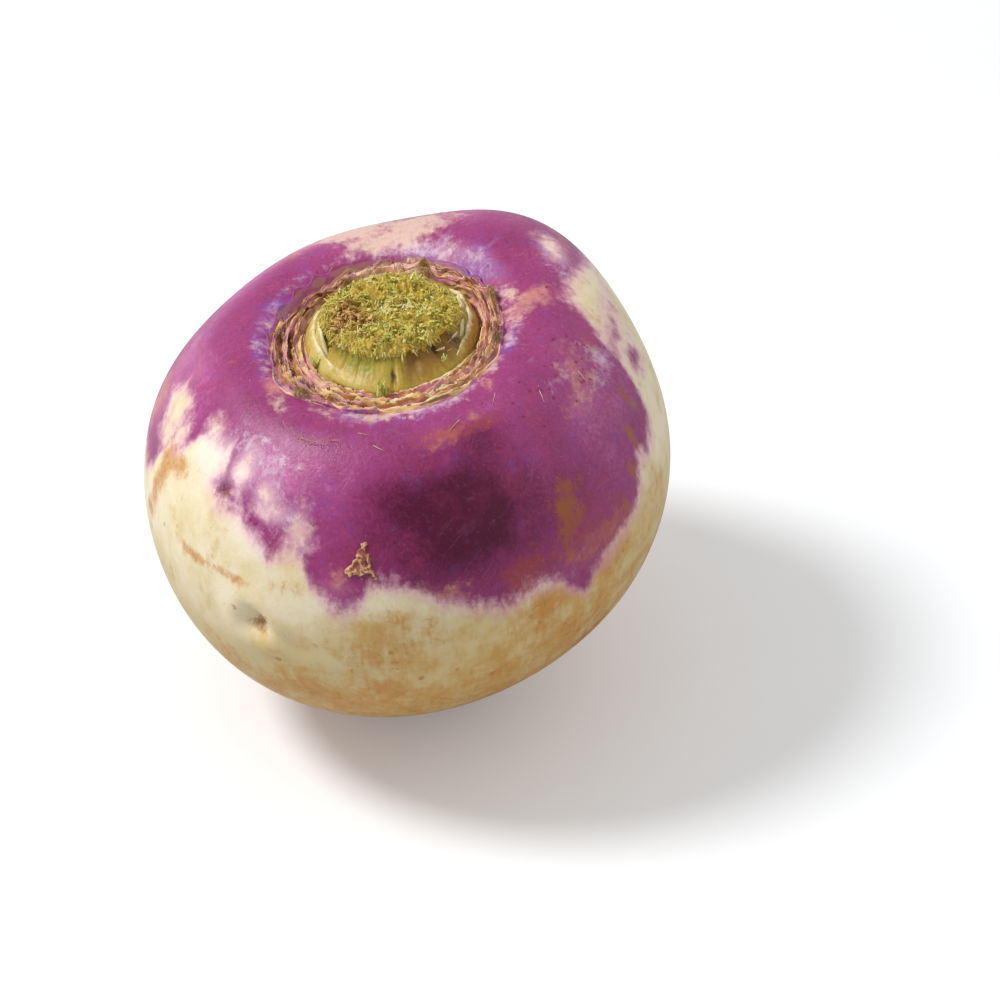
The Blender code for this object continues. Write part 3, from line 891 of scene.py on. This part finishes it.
def addShreds(models):
    chance = random.Random(shreds["seed"])
    rim = stub["side"][-1][0]
    bareGrain, bareAbove, bareGone = shreds["bare"]
    wornStart, wornEnd, wornGone = shreds["wornEdge"]
    headingGrain, headingRange = shreds["headings"]
    lockGrain, lockMiddle, lockRange = shreds["locks"]
    copies = []
    for i in range(shreds["count"]):
        share = (i + 0.5) / shreds["count"]
        radius = (rim + 0.1) * math.sqrt(share)
        around = i * goldenAngle + chance.uniform(-0.1, 0.1)
        foot = Vector(wallPoints(around, radius, domeHeight(radius)))
        foot = Vector(stubPoint(np.array([foot]))[0])
        atRim = share > shreds["hangingFrom"]
        bare = noise.noise(foot * bareGrain + Vector((2, 5, 1))) > bareAbove
        if bare and not atRim and chance.random() < bareGone:
            continue
        if atRim and wornStart < math.degrees(around) % 360 < wornEnd and chance.random() < wornGone:
            continue
        sort = "shavings" if chance.random() < shreds["shavingShare"] else "fibres"
        long, wide, thick = shreds[sort]
        # neighbours lie much the same way and share a tone, so they read as locks
        heading = noise.noise(foot * headingGrain + Vector((7, 1, 3))) * headingRange
        heading += chance.uniform(-0.6, 0.6)
        tilt = math.radians(chance.uniform(*shreds["lying"]))
        if atRim:
            heading = around + chance.uniform(-0.5, 0.5)
            tilt = math.radians(chance.uniform(*shreds["hanging"]))
        width = chance.uniform(*wide) * (0.6 if atRim else 1)
        size = (width, thick * chance.uniform(0.8, 1.3), chance.uniform(*long))
        place = lie(foot + Vector((0, 0, 0.05)), heading, tilt, chance.uniform(-2.2, 2.2), size)
        tone = lockMiddle + lockRange * noise.noise(foot * lockGrain + Vector((1, 8, 2)))
        copies.append((place, min(1, max(0, tone + chance.uniform(-0.35, 0.35)))))
    piece = scatter("frayed_fibres", models, copies)
    points = pointsOf(piece)
    storeFields(piece, browned=brownedAt(points), low=eased((5 - points[:, 2]) / 1.2))
    return piece


sprigs = dict(
    # buds of green leaf: azimuth, distance from the middle, height, blade length, blades, opening in degrees
    buds=((265, 14.2, 0.1, 3.2, 7, 12), (209, 14.1, 0.9, 2, 6, 26), (312, 13, 2.6, 1.3, 7, 40),
        (262, 14.9, -0.2, 1.9, 4, 30)),
    width=0.42,  # in shares of the blade's length, like its thickness and how far apart the blades stand
    thickness=0.35,
    spread=0.12,
    seed=11,
)


def addSprigs(models):
    chance = random.Random(sprigs["seed"])
    copies = []
    for azimuth, radius, height, length, blades, opening in sprigs["buds"]:
        turn = math.radians(azimuth)
        middle = Vector(wallPoints(turn, radius, height))
        for i in range(blades):
            heading = math.tau * i / blades + chance.uniform(-0.4, 0.4)
            foot = middle + Vector(wallPoints(heading, sprigs["spread"] * length, 0))
            tilt = math.radians(opening * chance.uniform(0.3, 1.2))
            long = length * chance.uniform(0.7, 1.05)
            size = (long * sprigs["width"], long * sprigs["thickness"], long)
            copies.append((lie(foot, heading, tilt, math.pi / 2, size), chance.random()))
    return scatter("green_sprigs", models, copies)


# Fresh leaf bases that still hug the stub: azimuths, distance from the middle, height, lean inwards,
# thickness, and from pale to golden.
sheaths = dict(
    leaves=((142, 232, 13.9, 3.4, 1.5, 0.7, 0), (168, 214, 12.6, 5, 1, 0.5, 0.15),
        (322, 412, 13.8, 3.4, 1.3, 0.7, 0.75), (336, 400, 12.6, 4.6, 1, 0.5, 0.45),
        (268, 342, 14.4, 1, 0.3, 0.6, 0.1), (60, 140, 13.6, 2.6, 1.2, 0.6, 0.6)),
    cells=(90, 14),
    edge=(5, 0.3),  # waves along the rim, and their share of its height
    ripple=(2.5, 0.25),
    sunk=0.4,
)


def addSheaths():
    across, up = sheaths["cells"]
    edgeWaves, edgeShare = sheaths["edge"]
    rippleWaves, rippleDepth = sheaths["ripple"]
    made = []
    for index, (start, end, radius, tall, lean, thickness, tone) in enumerate(sheaths["leaves"]):
        piece = newPiece(bpy.ops.mesh.primitive_grid_add, x_subdivisions=across, y_subdivisions=up, size=1)
        points = pointsOf(piece)
        along, rise = points[:, 0] + 0.5, points[:, 1] + 0.5
        turn = np.radians(start + along * (end - start))
        own = (index * 4.1, 0, 0)
        uneven = edgeShare * noiseAt(wallPoints(turn, 1, 0), edgeWaves, own)
        ripple = rippleDepth * noiseAt(wallPoints(turn, 3, rise), rippleWaves, own)
        height = tall * np.sin(np.pi * np.clip(along, 0.01, 0.99)) ** 0.55 * (1 + uneven)
        reach = radius - lean * rise ** 2 + ripple
        movePoints(piece, wallPoints(turn, reach, rise * (height + sheaths["sunk"]) - sheaths["sunk"]))
        storeFields(piece, tip=rise, tone=tone + 0 * rise)
        applyModifier(piece, "SOLIDIFY", thickness=thickness, offset=0)
        applyModifier(piece, "SUBSURF", levels=1, render_levels=1)
        made.append(piece)
    for piece in made:
        piece.select_set(True)
    bpy.context.view_layer.objects.active = made[0]
    bpy.ops.object.join()
    made[0].name = "leaf_bases"
    bpy.ops.object.shade_smooth()
    return made[0]


# The dried leaf bases: one ring of thin torn layers between the stub and the skin.
scars = dict(
    around=1200,
    rows=(58, 10),  # over the top and under it
    inner=13.5,
    outer=((0, 19.9), (20, 19.6), (32, 18.9), (45, 18.1), (59, 17.7), (75, 17.7), (90, 17.9), (111, 17.1),
        (125, 16.7), (147, 17.4), (166, 18.1), (185, 18.7), (200, 19.2), (210, 20.5), (222, 20.7),
        (232, 19.6), (243, 18.8), (265, 19.5), (293, 20.3), (307, 20.8), (324, 20.2), (337, 20.4),
        (347, 19.9), (360, 19.9)),
    layers=10,
    rise=1.2,
    seams=(0.03, 0.13),  # how steep a layer is inside and how gently it falls outside, in shares of the ring
    waves=(1.3, 5, 42),  # slow, quick and torn, round the ring
    wander=(0.05, 0.018, 0.005),  # how far each moves a layer's edge, and how much each adds to its height
    tall=(0.9, 0.4, 0.25),
    tallness=(0.55, 0.06, 1.6),  # middle, least and most, in shares of the rise
    grain=(4.5, 0.07),
    pleats=(9, 17, 0.1),  # waves round and across, and depth
    leaning=0.5,
    sunk=0.75,
    # crusty knots: azimuth about the root's axis, share of the way out, rise, half-size in mm
    knots=((19, 0.9, 2.4, 0.95), (347, 0.8, 2, 0.9), (228, 0.93, 1.8, 1), (67, 0.55, 1.3, 1.3),
        (118, 0.25, 1.4, 1.4), (222, 0.8, 0.8, 0.8), (300, 0.55, 0.6, 0.9), (95, 0.8, 0.7, 1.2),
        (318, 0.3, 0.6, 0.8)),
    # hollows between thick rims: azimuth, share, depth, half-length and half-width in mm
    cavities=((141, 0.45, 0.9, 1.9, 0.55), (183, 0.5, 0.9, 2.2, 0.6), (250, 0.3, 0.5, 2, 0.35),
        (330, 0.5, 0.6, 2.4, 0.4), (40, 0.3, 0.8, 3, 0.5), (280, 0.7, 0.5, 2.6, 0.3)),
    faded=((92, 38, 1), (300, 18, 0.35), (225, 12, 0.5)),  # paler stretches: azimuth, half-width, strength
)


def skinHeight(x, y):
    # the skin's height in millimetres over points in plan, in the root's own frame
    around = np.degrees(np.arctan2(y, x))
    radius = np.hypot(x, y)
    down = np.degrees(np.arctan2(radius, root["seatHeight"]))
    for _ in range(4):
        distance = rootDistance(wayTo(down, around))
        down = down * (1 + 0.9 * (radius / np.maximum(distance * np.sin(np.radians(down)), 0.1) - 1))
    return rootDistance(wayTo(down, around)) * np.cos(np.radians(down)) - root["inset"]


def scarRim(turn):
    rimX, rimY = np.array(scars["outer"], float).T
    return np.interp(np.degrees(turn) % 360, rimX, rimY)


def ringPlan(turn, share):
    # plan positions between the stub's foot and the outer rim of the scars
    reach = (1 - share) * scars["inner"] + share * scarRim(turn)
    return (reach * np.cos(turn) + (1 - share) * stub["place"][0],
            reach * np.sin(turn) + (1 - share) * stub["place"][1])


def layerEdges(turn):
    # for each layer, the share of the way out where it stands, and how tall it is there
    ring = wallPoints(turn, 1, 0)
    middle, least, most = scars["tallness"]
    edges = []
    for layer in range(scars["layers"]):
        own = (7.3 * layer, 2.1 * layer, 5)
        sways = [noiseAt(ring, waves, own) for waves in scars["waves"]]
        wander = sum(a * b * 1.6 for a, b in zip(scars["wander"], sways))
        shifted = [np.roll(sway, by) for sway, by in zip(sways, (300, 100, 0))]
        tall = middle + sum(a * b for a, b in zip(scars["tall"], shifted))
        where = (layer + 0.25) / scars["layers"] + wander
        edges.append((where, np.clip(tall, least, most) * scars["rise"]))
    return edges


def addScars():
    count = scars["around"]
    over, under = scars["rows"]
    hub = 10
    piece = newPiece(bpy.ops.mesh.primitive_torus_add, major_segments=count, minor_segments=over + under,
                     major_radius=hub, minor_radius=1)
    piece.name = "leaf_scars"
    points = pointsOf(piece)
    turn = np.arctan2(points[:, 1], points[:, 0])
    tube = np.arctan2(points[:, 2], np.hypot(points[:, 0], points[:, 1]) - hub) % math.tau
    row = np.round(tube / math.tau * (over + under)).astype(int) % (over + under)
    onTop = row <= over
    share = np.where(onTop, 1 - row / over, (row - over) / under)
    x, y = ringPlan(turn, share)
    plan = np.stack([x, y, 0 * x], -1)
    base = skinHeight(x, y)

    # the tallest layer wins at each point
    column = np.round((turn % math.tau) / math.tau * count).astype(int) % count
    steep, gentle = scars["seams"]
    height, leaf, tone = np.zeros((3, len(points)))
    stray = noiseAt(plan, 0.9, (3, 1, 0)) * 0.25
    for layer, (middle, tall) in enumerate(layerEdges(np.arange(count) * math.tau / count)):
        past = share - middle[column]
        shape = eased((past + steep) / steep) * np.exp(-np.maximum(past, 0) / gentle * 2.2)
        higher = shape * tall[column] > height
        height = np.where(higher, shape * tall[column], height)
        leaf = np.where(higher, shape, leaf)
        tone = np.where(higher, (layer * 0.37) % 1 + stray, tone)

    around = np.degrees(turn)
    radius = np.hypot(x, y)
    width = scarRim(turn) - scars["inner"]
    knotty, sunk = np.zeros((2, len(points)))
    for azimuth, middle, rise, half in scars["knots"]:
        aside = np.hypot(np.radians(turned(around, azimuth)) * radius, (share - middle) * width)
        knotty += rise * bell(aside, half)
    height += knotty * (0.35 + 0.5 * ridgesAt(plan, 1.3, octaves=3))
    for azimuth, middle, depth, halfLong, halfWide in scars["cavities"]:
        along = np.radians(turned(around, azimuth)) * radius / halfLong
        reach = np.hypot(along, (share - middle) * width / halfWide)
        sunk += depth * bell(reach, 1) - 0.35 * depth * bell(reach - 1.6, 0.5)
    waves, grainDepth = scars["grain"]
    wavesRound, wavesAcross, pleatDepth = scars["pleats"]
    pleats = noiseAt(wallPoints(turn, wavesRound, share * wavesAcross), 1)
    height += grainDepth * noiseAt(np.stack([x, y, height], -1), waves) + pleatDepth * pleats - sunk
    # the layers lean inwards and end at the rims, and the underside is sunk in the skin
    inward = scars["leaning"] * height * (1 - np.clip(knotty, 0, 1))
    rim = np.clip(np.minimum(share * 9, (1 - share) * 9), 0, 1)
    lift = np.where(onTop, -0.15 + (0.3 + height) * rim, -scars["sunk"])
    x = x - inward * rim * np.cos(turn) * onTop
    y = y - inward * rim * np.sin(turn) * onTop
    movePoints(piece, np.stack([x, y, base + lift], -1) - np.array(stub["place"]))
    faded = sum(bell(turned(around, middle), spread) * strength
                for middle, spread, strength in scars["faded"])
    storeFields(piece, leaf=leaf, height=height, tone=tone, crust=knotty, pleats=pleats, faded=faded,
                share=share, ring=wallPoints(turn, 16, share * 5))
    bpy.ops.object.shade_smooth()
    return piece


# Torn papery edges along the layers.
flakes = dict(
    count=170,
    seed=8,
    length=(0.8, 2.4),
    width=(0.15, 0.4),
    thickness=0.1,
    lying=(68, 92),  # degrees from upright
    astray=0.35,  # radians off the layer's own way, and about their own length
    rolled=0.6,
    perch=0.55,  # share of the layer's height where they grow
)


def addFlakes(models):
    chance = random.Random(flakes["seed"])
    turns = np.array([chance.uniform(0, math.tau) for _ in range(flakes["count"])])
    edges = layerEdges(turns)
    layers = [chance.randrange(scars["layers"]) for _ in turns]
    shares = np.array([edges[layer][0][i] for i, layer in enumerate(layers)])
    x, y = ringPlan(turns, np.clip(shares, 0.02, 0.98))
    z = skinHeight(x, y)
    copies = []
    for i, (turn, layer) in enumerate(zip(turns, layers)):
        foot = Vector((x[i], y[i], z[i] + edges[layer][1][i] * flakes["perch"])) - Vector(stub["place"])
        heading = turn + math.pi / 2 * chance.choice((1, -1))
        heading += chance.uniform(-flakes["astray"], flakes["astray"])
        length = chance.uniform(*flakes["length"])
        size = (chance.uniform(*flakes["width"]), flakes["thickness"], length)
        tilt = math.radians(chance.uniform(*flakes["lying"]))
        place = lie(foot, heading, tilt, chance.uniform(-flakes["rolled"], flakes["rolled"]), size)
        copies.append((place, chance.random()))
    return scatter("papery_flakes", models, copies)


# Pale torn shards on the stub's right shoulder: azimuth, distance from the middle, height, length.
shards = dict(
    places=((345, 11.6, 4.7, 2.8), (336, 12, 4.2, 2.6), (328, 11.8, 4.2, 1.8), (318, 12, 3.9, 2),
        (322, 12.6, 3.4, 1.3), (351, 11, 5.2, 1.6)),
    width=0.34,
    thickness=0.16,
    tilt=1.25,
    rolls=(-0.5, -0.1),
)


def addShards(models):
    copies = []
    for i, (azimuth, radius, height, length) in enumerate(shards["places"]):
        turn = math.radians(azimuth)
        foot = Vector(wallPoints(turn, radius, height))
        heading = turn - math.pi / 2 + 0.15 * (i % 3 - 1)
        size = (length * shards["width"], shards["thickness"], length)
        place = lie(foot, heading, shards["tilt"], shards["rolls"][i % 2], size)
        copies.append((place, 0.75 + 0.04 * i))
    return scatter("pale_shards", models, copies)


# Rootlets: degrees down from the crown and round it, heading in degrees clockwise from straight down, length.
hairs = dict(
    strands=((40, 237, 70, 6), (41.5, 241, 95, 7), (42.3, 246, 120, 5), (39, 232, 60, 3),
        (40.5, 252, 100, 2.6), (83.6, 238.8, 30, 3.2), (83.2, 240, 5, 2.4), (84, 239.4, 55, 2),
        (38, 262, 80, 2.4), (39.5, 300, -70, 3.4), (38.5, 318, -60, 2.6), (37, 205, 60, 2.6),
        (41, 268, 60, 2.2), (45, 330, -40, 2.4), (50, 345, -30, 2)),
    width=0.11,
    tilt=1.3,
)


def addHairs(models):
    copies = []
    for i, (down, around, heading, length) in enumerate(hairs["strands"]):
        way = Vector(wayTo(np.array([down]), np.array([around]))[0])
        distance = float(rootDistance(np.array([way]))[0]) - root["inset"]
        downhill = Vector((way.x * way.z, way.y * way.z, way.z ** 2 - 1)).normalized()
        stand = Matrix((downhill, way.cross(downhill), way)).transposed().to_4x4()
        size = (hairs["width"], hairs["width"] * 2, length)
        laid = lie(Vector(), math.radians(heading), hairs["tilt"], -math.pi / 2, size)
        copies.append((Matrix.Translation(way * (distance - 0.03)) @ stand @ laid, 0.3 + 0.04 * i))
    piece = scatter("fine_rootlets", models, copies)
    movePoints(piece, pointsOf(piece) - np.array(stub["place"]))
    return piece


def stalkFinish():
    stalk = Finish("cut_stalk", Roughness=0.4, **juicy(0.12, 0.0012))
    fibres = stalk.field("fibres", "Vector")
    dome = stalk.field("dome")
    patchy = stalk.sway(0.3, detail=3)
    fine = stalk.sway(1.8, detail=4)
    thread = stalk.sway(1.5, detail=3, roughness=0.6, place=fibres, stretch=(1, 1, 0.12))
    pale = stalk.field("pale") + thread * 0.15 + patchy * 0.3
    pulp = stalk.layered(
        "AC902E",
        ((fine * 0.5 + patchy * 0.3 + 0.5).step(0.15, 0.85), "DCC258"),
        ((stalk.field("browned") + fine * 0.3).step(0.2, 0.9), "8A5424"))
    colour = stalk.layered(
        "BFA640",
        ((patchy * 0.35 + thread * 0.35 + 0.5).step(0.1, 0.9), "8E7C20"),
        (pale.step(0.2, 1), "BC9E3A"),
        ((stalk.field("green") + thread * 0.35 + fine * 0.15).step(0.2, 0.9) * 0.8, "9C9430"),
        ((pale + fine * 0.2).step(0.9, 1.6) * 0.6, "D2BC68"),
        # painted shade, dark olive-brown, in the wall's hollows
        ((stalk.field("painted_hollow_shade") + thread * 0.15 + fine * 0.2).step(0.2, 0.9) * 0.85, "8E6218"),
        # painted shade in the nicks, partly the bud hole's own red-brown
        ((stalk.field("painted_nick_shade") + fine * 0.25).step(0.35, 0.9) * 0.9, "4A2A12"),
        ((dome + fine * 0.2).step(0.3, 0.7), pulp))
    return stalk.feed(Base_Color=colour, Normal=stalk.bump(0.5, 0.12, fine * 0.2 + thread * 0.15),
                      Roughness=0.42 + dome * 0.2 + patchy * 0.05)


def sheathFinish():
    smooth = Finish("leaf_base", Roughness=0.3, **juicy(0.15, 0.0012))
    tip = smooth.field("tip")
    patchy = smooth.sway(0.35, detail=3)
    fine = smooth.sway(1.5, detail=3)
    colour = smooth.layered(
        "DAC474",
        ((smooth.field("tone") + patchy * 0.3 + fine * 0.15).step(0.1, 0.9), "A87C2A"),
        ((tip + fine * 0.2 + patchy * 0.2).step(0.75, 1.05) * 0.8, "F2E6BC"),
        ((0.35 - tip + patchy * 0.3).step(0, 0.4) * 0.6, "6A4A1C"))
    return smooth.feed(Base_Color=colour, Roughness=0.3 + fine * 0.04)


def shredFinish():
    frayed = Finish("frayed_fibre", Roughness=0.45, **juicy(0.1, 0.0008))
    tone = frayed.field("tone") + frayed.sway(0.35, detail=3) * 0.35
    fine = frayed.sway(2.5, detail=2)
    green = frayed.sway(0.2, detail=2, shift=13) + (frayed.field("tone") - 0.5) * 0.8
    dried = frayed.field("browned") + (tone - 0.5) * 0.5 + fine * 0.1
    colour = frayed.layered(
        "C6B848",
        (tone.step(0, 0.45), "EAE070"),
        ((tone + fine * 0.1).step(0.35, 0.7), "E2DE7C"),
        ((tone + fine * 0.1).step(0.7, 1.05), "FFF4C8"),
        (green.step(0, 0.7) * 0.65, "BCD050"),
        (frayed.field("low") * 0.7, "C4B44C"),
        (dried.step(0.1, 1) * 0.8, "EEC06C"),
        (dried.step(0.9, 1.6), "B4642C"))
    return frayed.feed(Base_Color=colour, Roughness=0.42 + fine * 0.06)


def sprigFinish():
    leafy = Finish("young_leaf", Roughness=0.35, **juicy(0.15, 0.0008, (0.6, 1, 0.3)))
    tone = leafy.field("tone") + leafy.sway(1.2, detail=3) * 0.25
    colour = leafy.mix(tone.step(0, 0.8), "B2C048", "DEE288")
    return leafy.feed(Base_Color=colour, Roughness=0.35 + tone * 0.1)


def scarFinish():
    papery = Finish("dry_sheath", Roughness=0.55, Specular_IOR_Level=0.4)
    leaf, tone, height, faded = (papery.field(name) for name in ("leaf", "tone", "height", "faded"))
    ring = papery.field("ring", "Vector")
    patchy = papery.sway(0.45, detail=4)
    fine = papery.sway(2.4, detail=3)
    pinkish = papery.sway(0.3, detail=3, shift=17)
    grain = papery.sway(1.6, detail=4, roughness=0.65, place=ring, stretch=(0.3, 0.3, 2.2))
    lines = papery.sway(1.5, detail=3, roughness=0.6, place=ring, stretch=(0.1, 0.1, 2.4), shift=9)
    # the gaps between the layers: the skin's own pink, mostly covered by painted shade in dark brown
    between = papery.layered(
        "B8649A",
        ((pinkish * 0.8 + 0.5).step(0, 1), "DCA8B0"),
        ((patchy * 0.6 + fine * 0.25).step(-0.25, 0.4) * 0.9, "52281A"))
    crusty = papery.mix((fine * 0.5 + 0.5).step(0.1, 0.9), "4E3414", "B8924E")
    hollow = 1 - (leaf + fine * 0.08).step(0.12, 0.6)
    # the crests of the layers: partly their pale dry edges, partly a painted highlight
    paleCrestsAndHighlights = leaf.step(0.8, 0.99) * (height + grain * 0.2).step(0.15, 0.55)
    outside = (papery.field("share") + grain * 0.08 + patchy * 0.08).step(0.95, 1.02)
    colour = papery.layered(
        "EEC482",
        ((tone + patchy * 0.4 + grain * 0.4).step(0.1, 0.9), "AC6A2C"),
        ((patchy * 0.5 + fine * 0.2 + grain * 0.3 + tone * 0.4).step(0.4, 1) * 0.85, "66361A"),
        ((faded + patchy * 0.3 + fine * 0.1).step(0.2, 1) * 0.75, "F2C8A8"),
        # darker where the pleats sink: painted shade in their troughs
        ((grain * 0.3 - papery.field("pleats") * 1.4).step(0.15, 0.7) * 0.6, "7A4020"),
        ((lines + pinkish * 0.4).step(0, 0.6) * 0.75, "C8709C"),
        ((patchy * 0.3 - lines).step(0.2, 0.75) * 0.8, "5E2C18"),
        # painted shade and pink in the gaps between the layers
        (hollow * 0.85, between),
        # painted highlight and pale dry edges along the crests
        (paleCrestsAndHighlights * 0.85, "FFEFC4"),
        ((faded + fine * 0.15).step(0.3, 1) * 0.55, "F4CEB8"),
        ((papery.field("crust") + fine * 0.35).step(0.3, 0.9) * 0.85, crusty),
        (outside * 0.8, "AC5F92"))
    return papery.feed(Base_Color=colour, Normal=papery.bump(0.5, 0.12, fine * 0.25 + grain * 0.35))


def flakeFinish():
    flake = Finish("papery_flake", Roughness=0.5)
    tone = flake.field("tone") + flake.sway(1.1, detail=3) * 0.2
    colour = flake.layered(
        "8A5A2C",
        (tone.step(0, 0.5), "C99C62"),
        (tone.step(0.5, 0.95), "F0E0B8"),
        (tone.step(0.85, 1.1) * 0.6, "D8A0BC"))
    return flake.feed(Base_Color=colour)


def settle(piece, finish, *replaced):
    piece.data.materials.clear()
    piece.data.materials.append(finish)
    piece.data.transform(rootPlace @ Matrix.Translation(stub["place"]))
    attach(piece, "root")
    if replaced:
        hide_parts(*replaced)


print("cutting the crown")
settle(addStub(), stalkFinish(), "crown_stub")
settle(addSheaths(), sheathFinish())
stripModels = [addStrip(curl) for curl in strip["curls"]]
print("fraying the cut")
settle(addShreds(stripModels), shredFinish())
settle(addSprigs(stripModels[:1]), sprigFinish())
print("layering the leaf scars")
settle(addScars(), scarFinish())
settle(addFlakes(stripModels[:2]), flakeFinish())
settle(addShards(stripModels[:1]), flakeFinish())
settle(addHairs(stripModels[:1]), flakeFinish())
for model in stripModels:
    bpy.data.objects.remove(model)


studio = dict(
    elevation=38,
    distance=474,
    lens=100,
    aside=(16.48, -5.39),  # the aim, to the right of the belly's centre and above it
    floorSize=6,
    floorGlow=0.14,
    keyFrom=(-0.6, 0.01, 0.8),
    keyDistance=900,
    keySize=260,
    keyPower=6,
    skyBase=0.45,
    skySide=0.5,
    skySideFrom=(0.9, 0.42, 0),  # a bright wall to the right and behind
    bounce=0.7,  # the share of the floor's light that reaches the root, as with a dark card round it
)


def addStudio():
    floor = newPiece(bpy.ops.mesh.primitive_plane_add, size=studio["floorSize"], location=(0, 0, 0))
    floor.name = "floor"
    paper = Finish("pale_paper", Roughness=0.9, Specular_IOR_Level=0, Emission_Strength=1)
    soft = paper.mix(paper.noise(0.05, detail=3).step(0, 1), "F1F3F6", "F4F6F8")
    seen = paper.node("LightPath", {}, {}, "Is Camera Ray")
    soft = paper.mix(seen + studio["bounce"] * (1 - seen), "000000", soft)
    lit = paper.mix(seen, "000000", (*(studio["floorGlow"],) * 3, 1))
    floor.data.materials.append(paper.feed(Base_Color=soft, Emission_Color=lit))

    belly = Vector(stance["belly"])
    key = Vector(studio["keyFrom"]).normalized()
    bpy.ops.object.light_add(type="AREA", location=(belly + key * studio["keyDistance"]) * mm)
    lamp = bpy.context.object
    lamp.name = "key"
    lamp.rotation_euler = key.to_track_quat("Z", "Y").to_euler()
    lamp.data.shape = "DISK"
    lamp.data.size = studio["keySize"] * mm
    lamp.data.energy = studio["keyPower"]

    sky = Finish("studio", bpy.data.worlds.new("studio"), "Background", Color=(1, 1, 1, 1))
    towards = sky.node("TexCoord", {}, {}, "Generated")
    side = sky.node(
        "VectorMath", dict(operation="DOT_PRODUCT"), {0: towards, 1: studio["skySideFrom"]}, "Value")
    bpy.context.scene.world = sky.feed(Strength=side.most(0) * studio["skySide"] + studio["skyBase"])
    bpy.context.scene.view_settings.view_transform = "Standard"

    rise = math.radians(studio["elevation"])
    aside, above = studio["aside"]
    aim = belly + Vector((aside, above * math.sin(rise), above * math.cos(rise)))
    back = Vector((0, -math.cos(rise), math.sin(rise)))
    bpy.ops.object.camera_add(
        location=(aim + back * studio["distance"]) * mm, rotation=(math.pi / 2 - rise, 0, 0))
    camera = bpy.context.object
    camera.data.lens = studio["lens"]
    camera.data.sensor_width = 36
    camera.data.clip_start = 0.01
    bpy.context.scene.camera = camera


print("setting the studio")
addStudio()
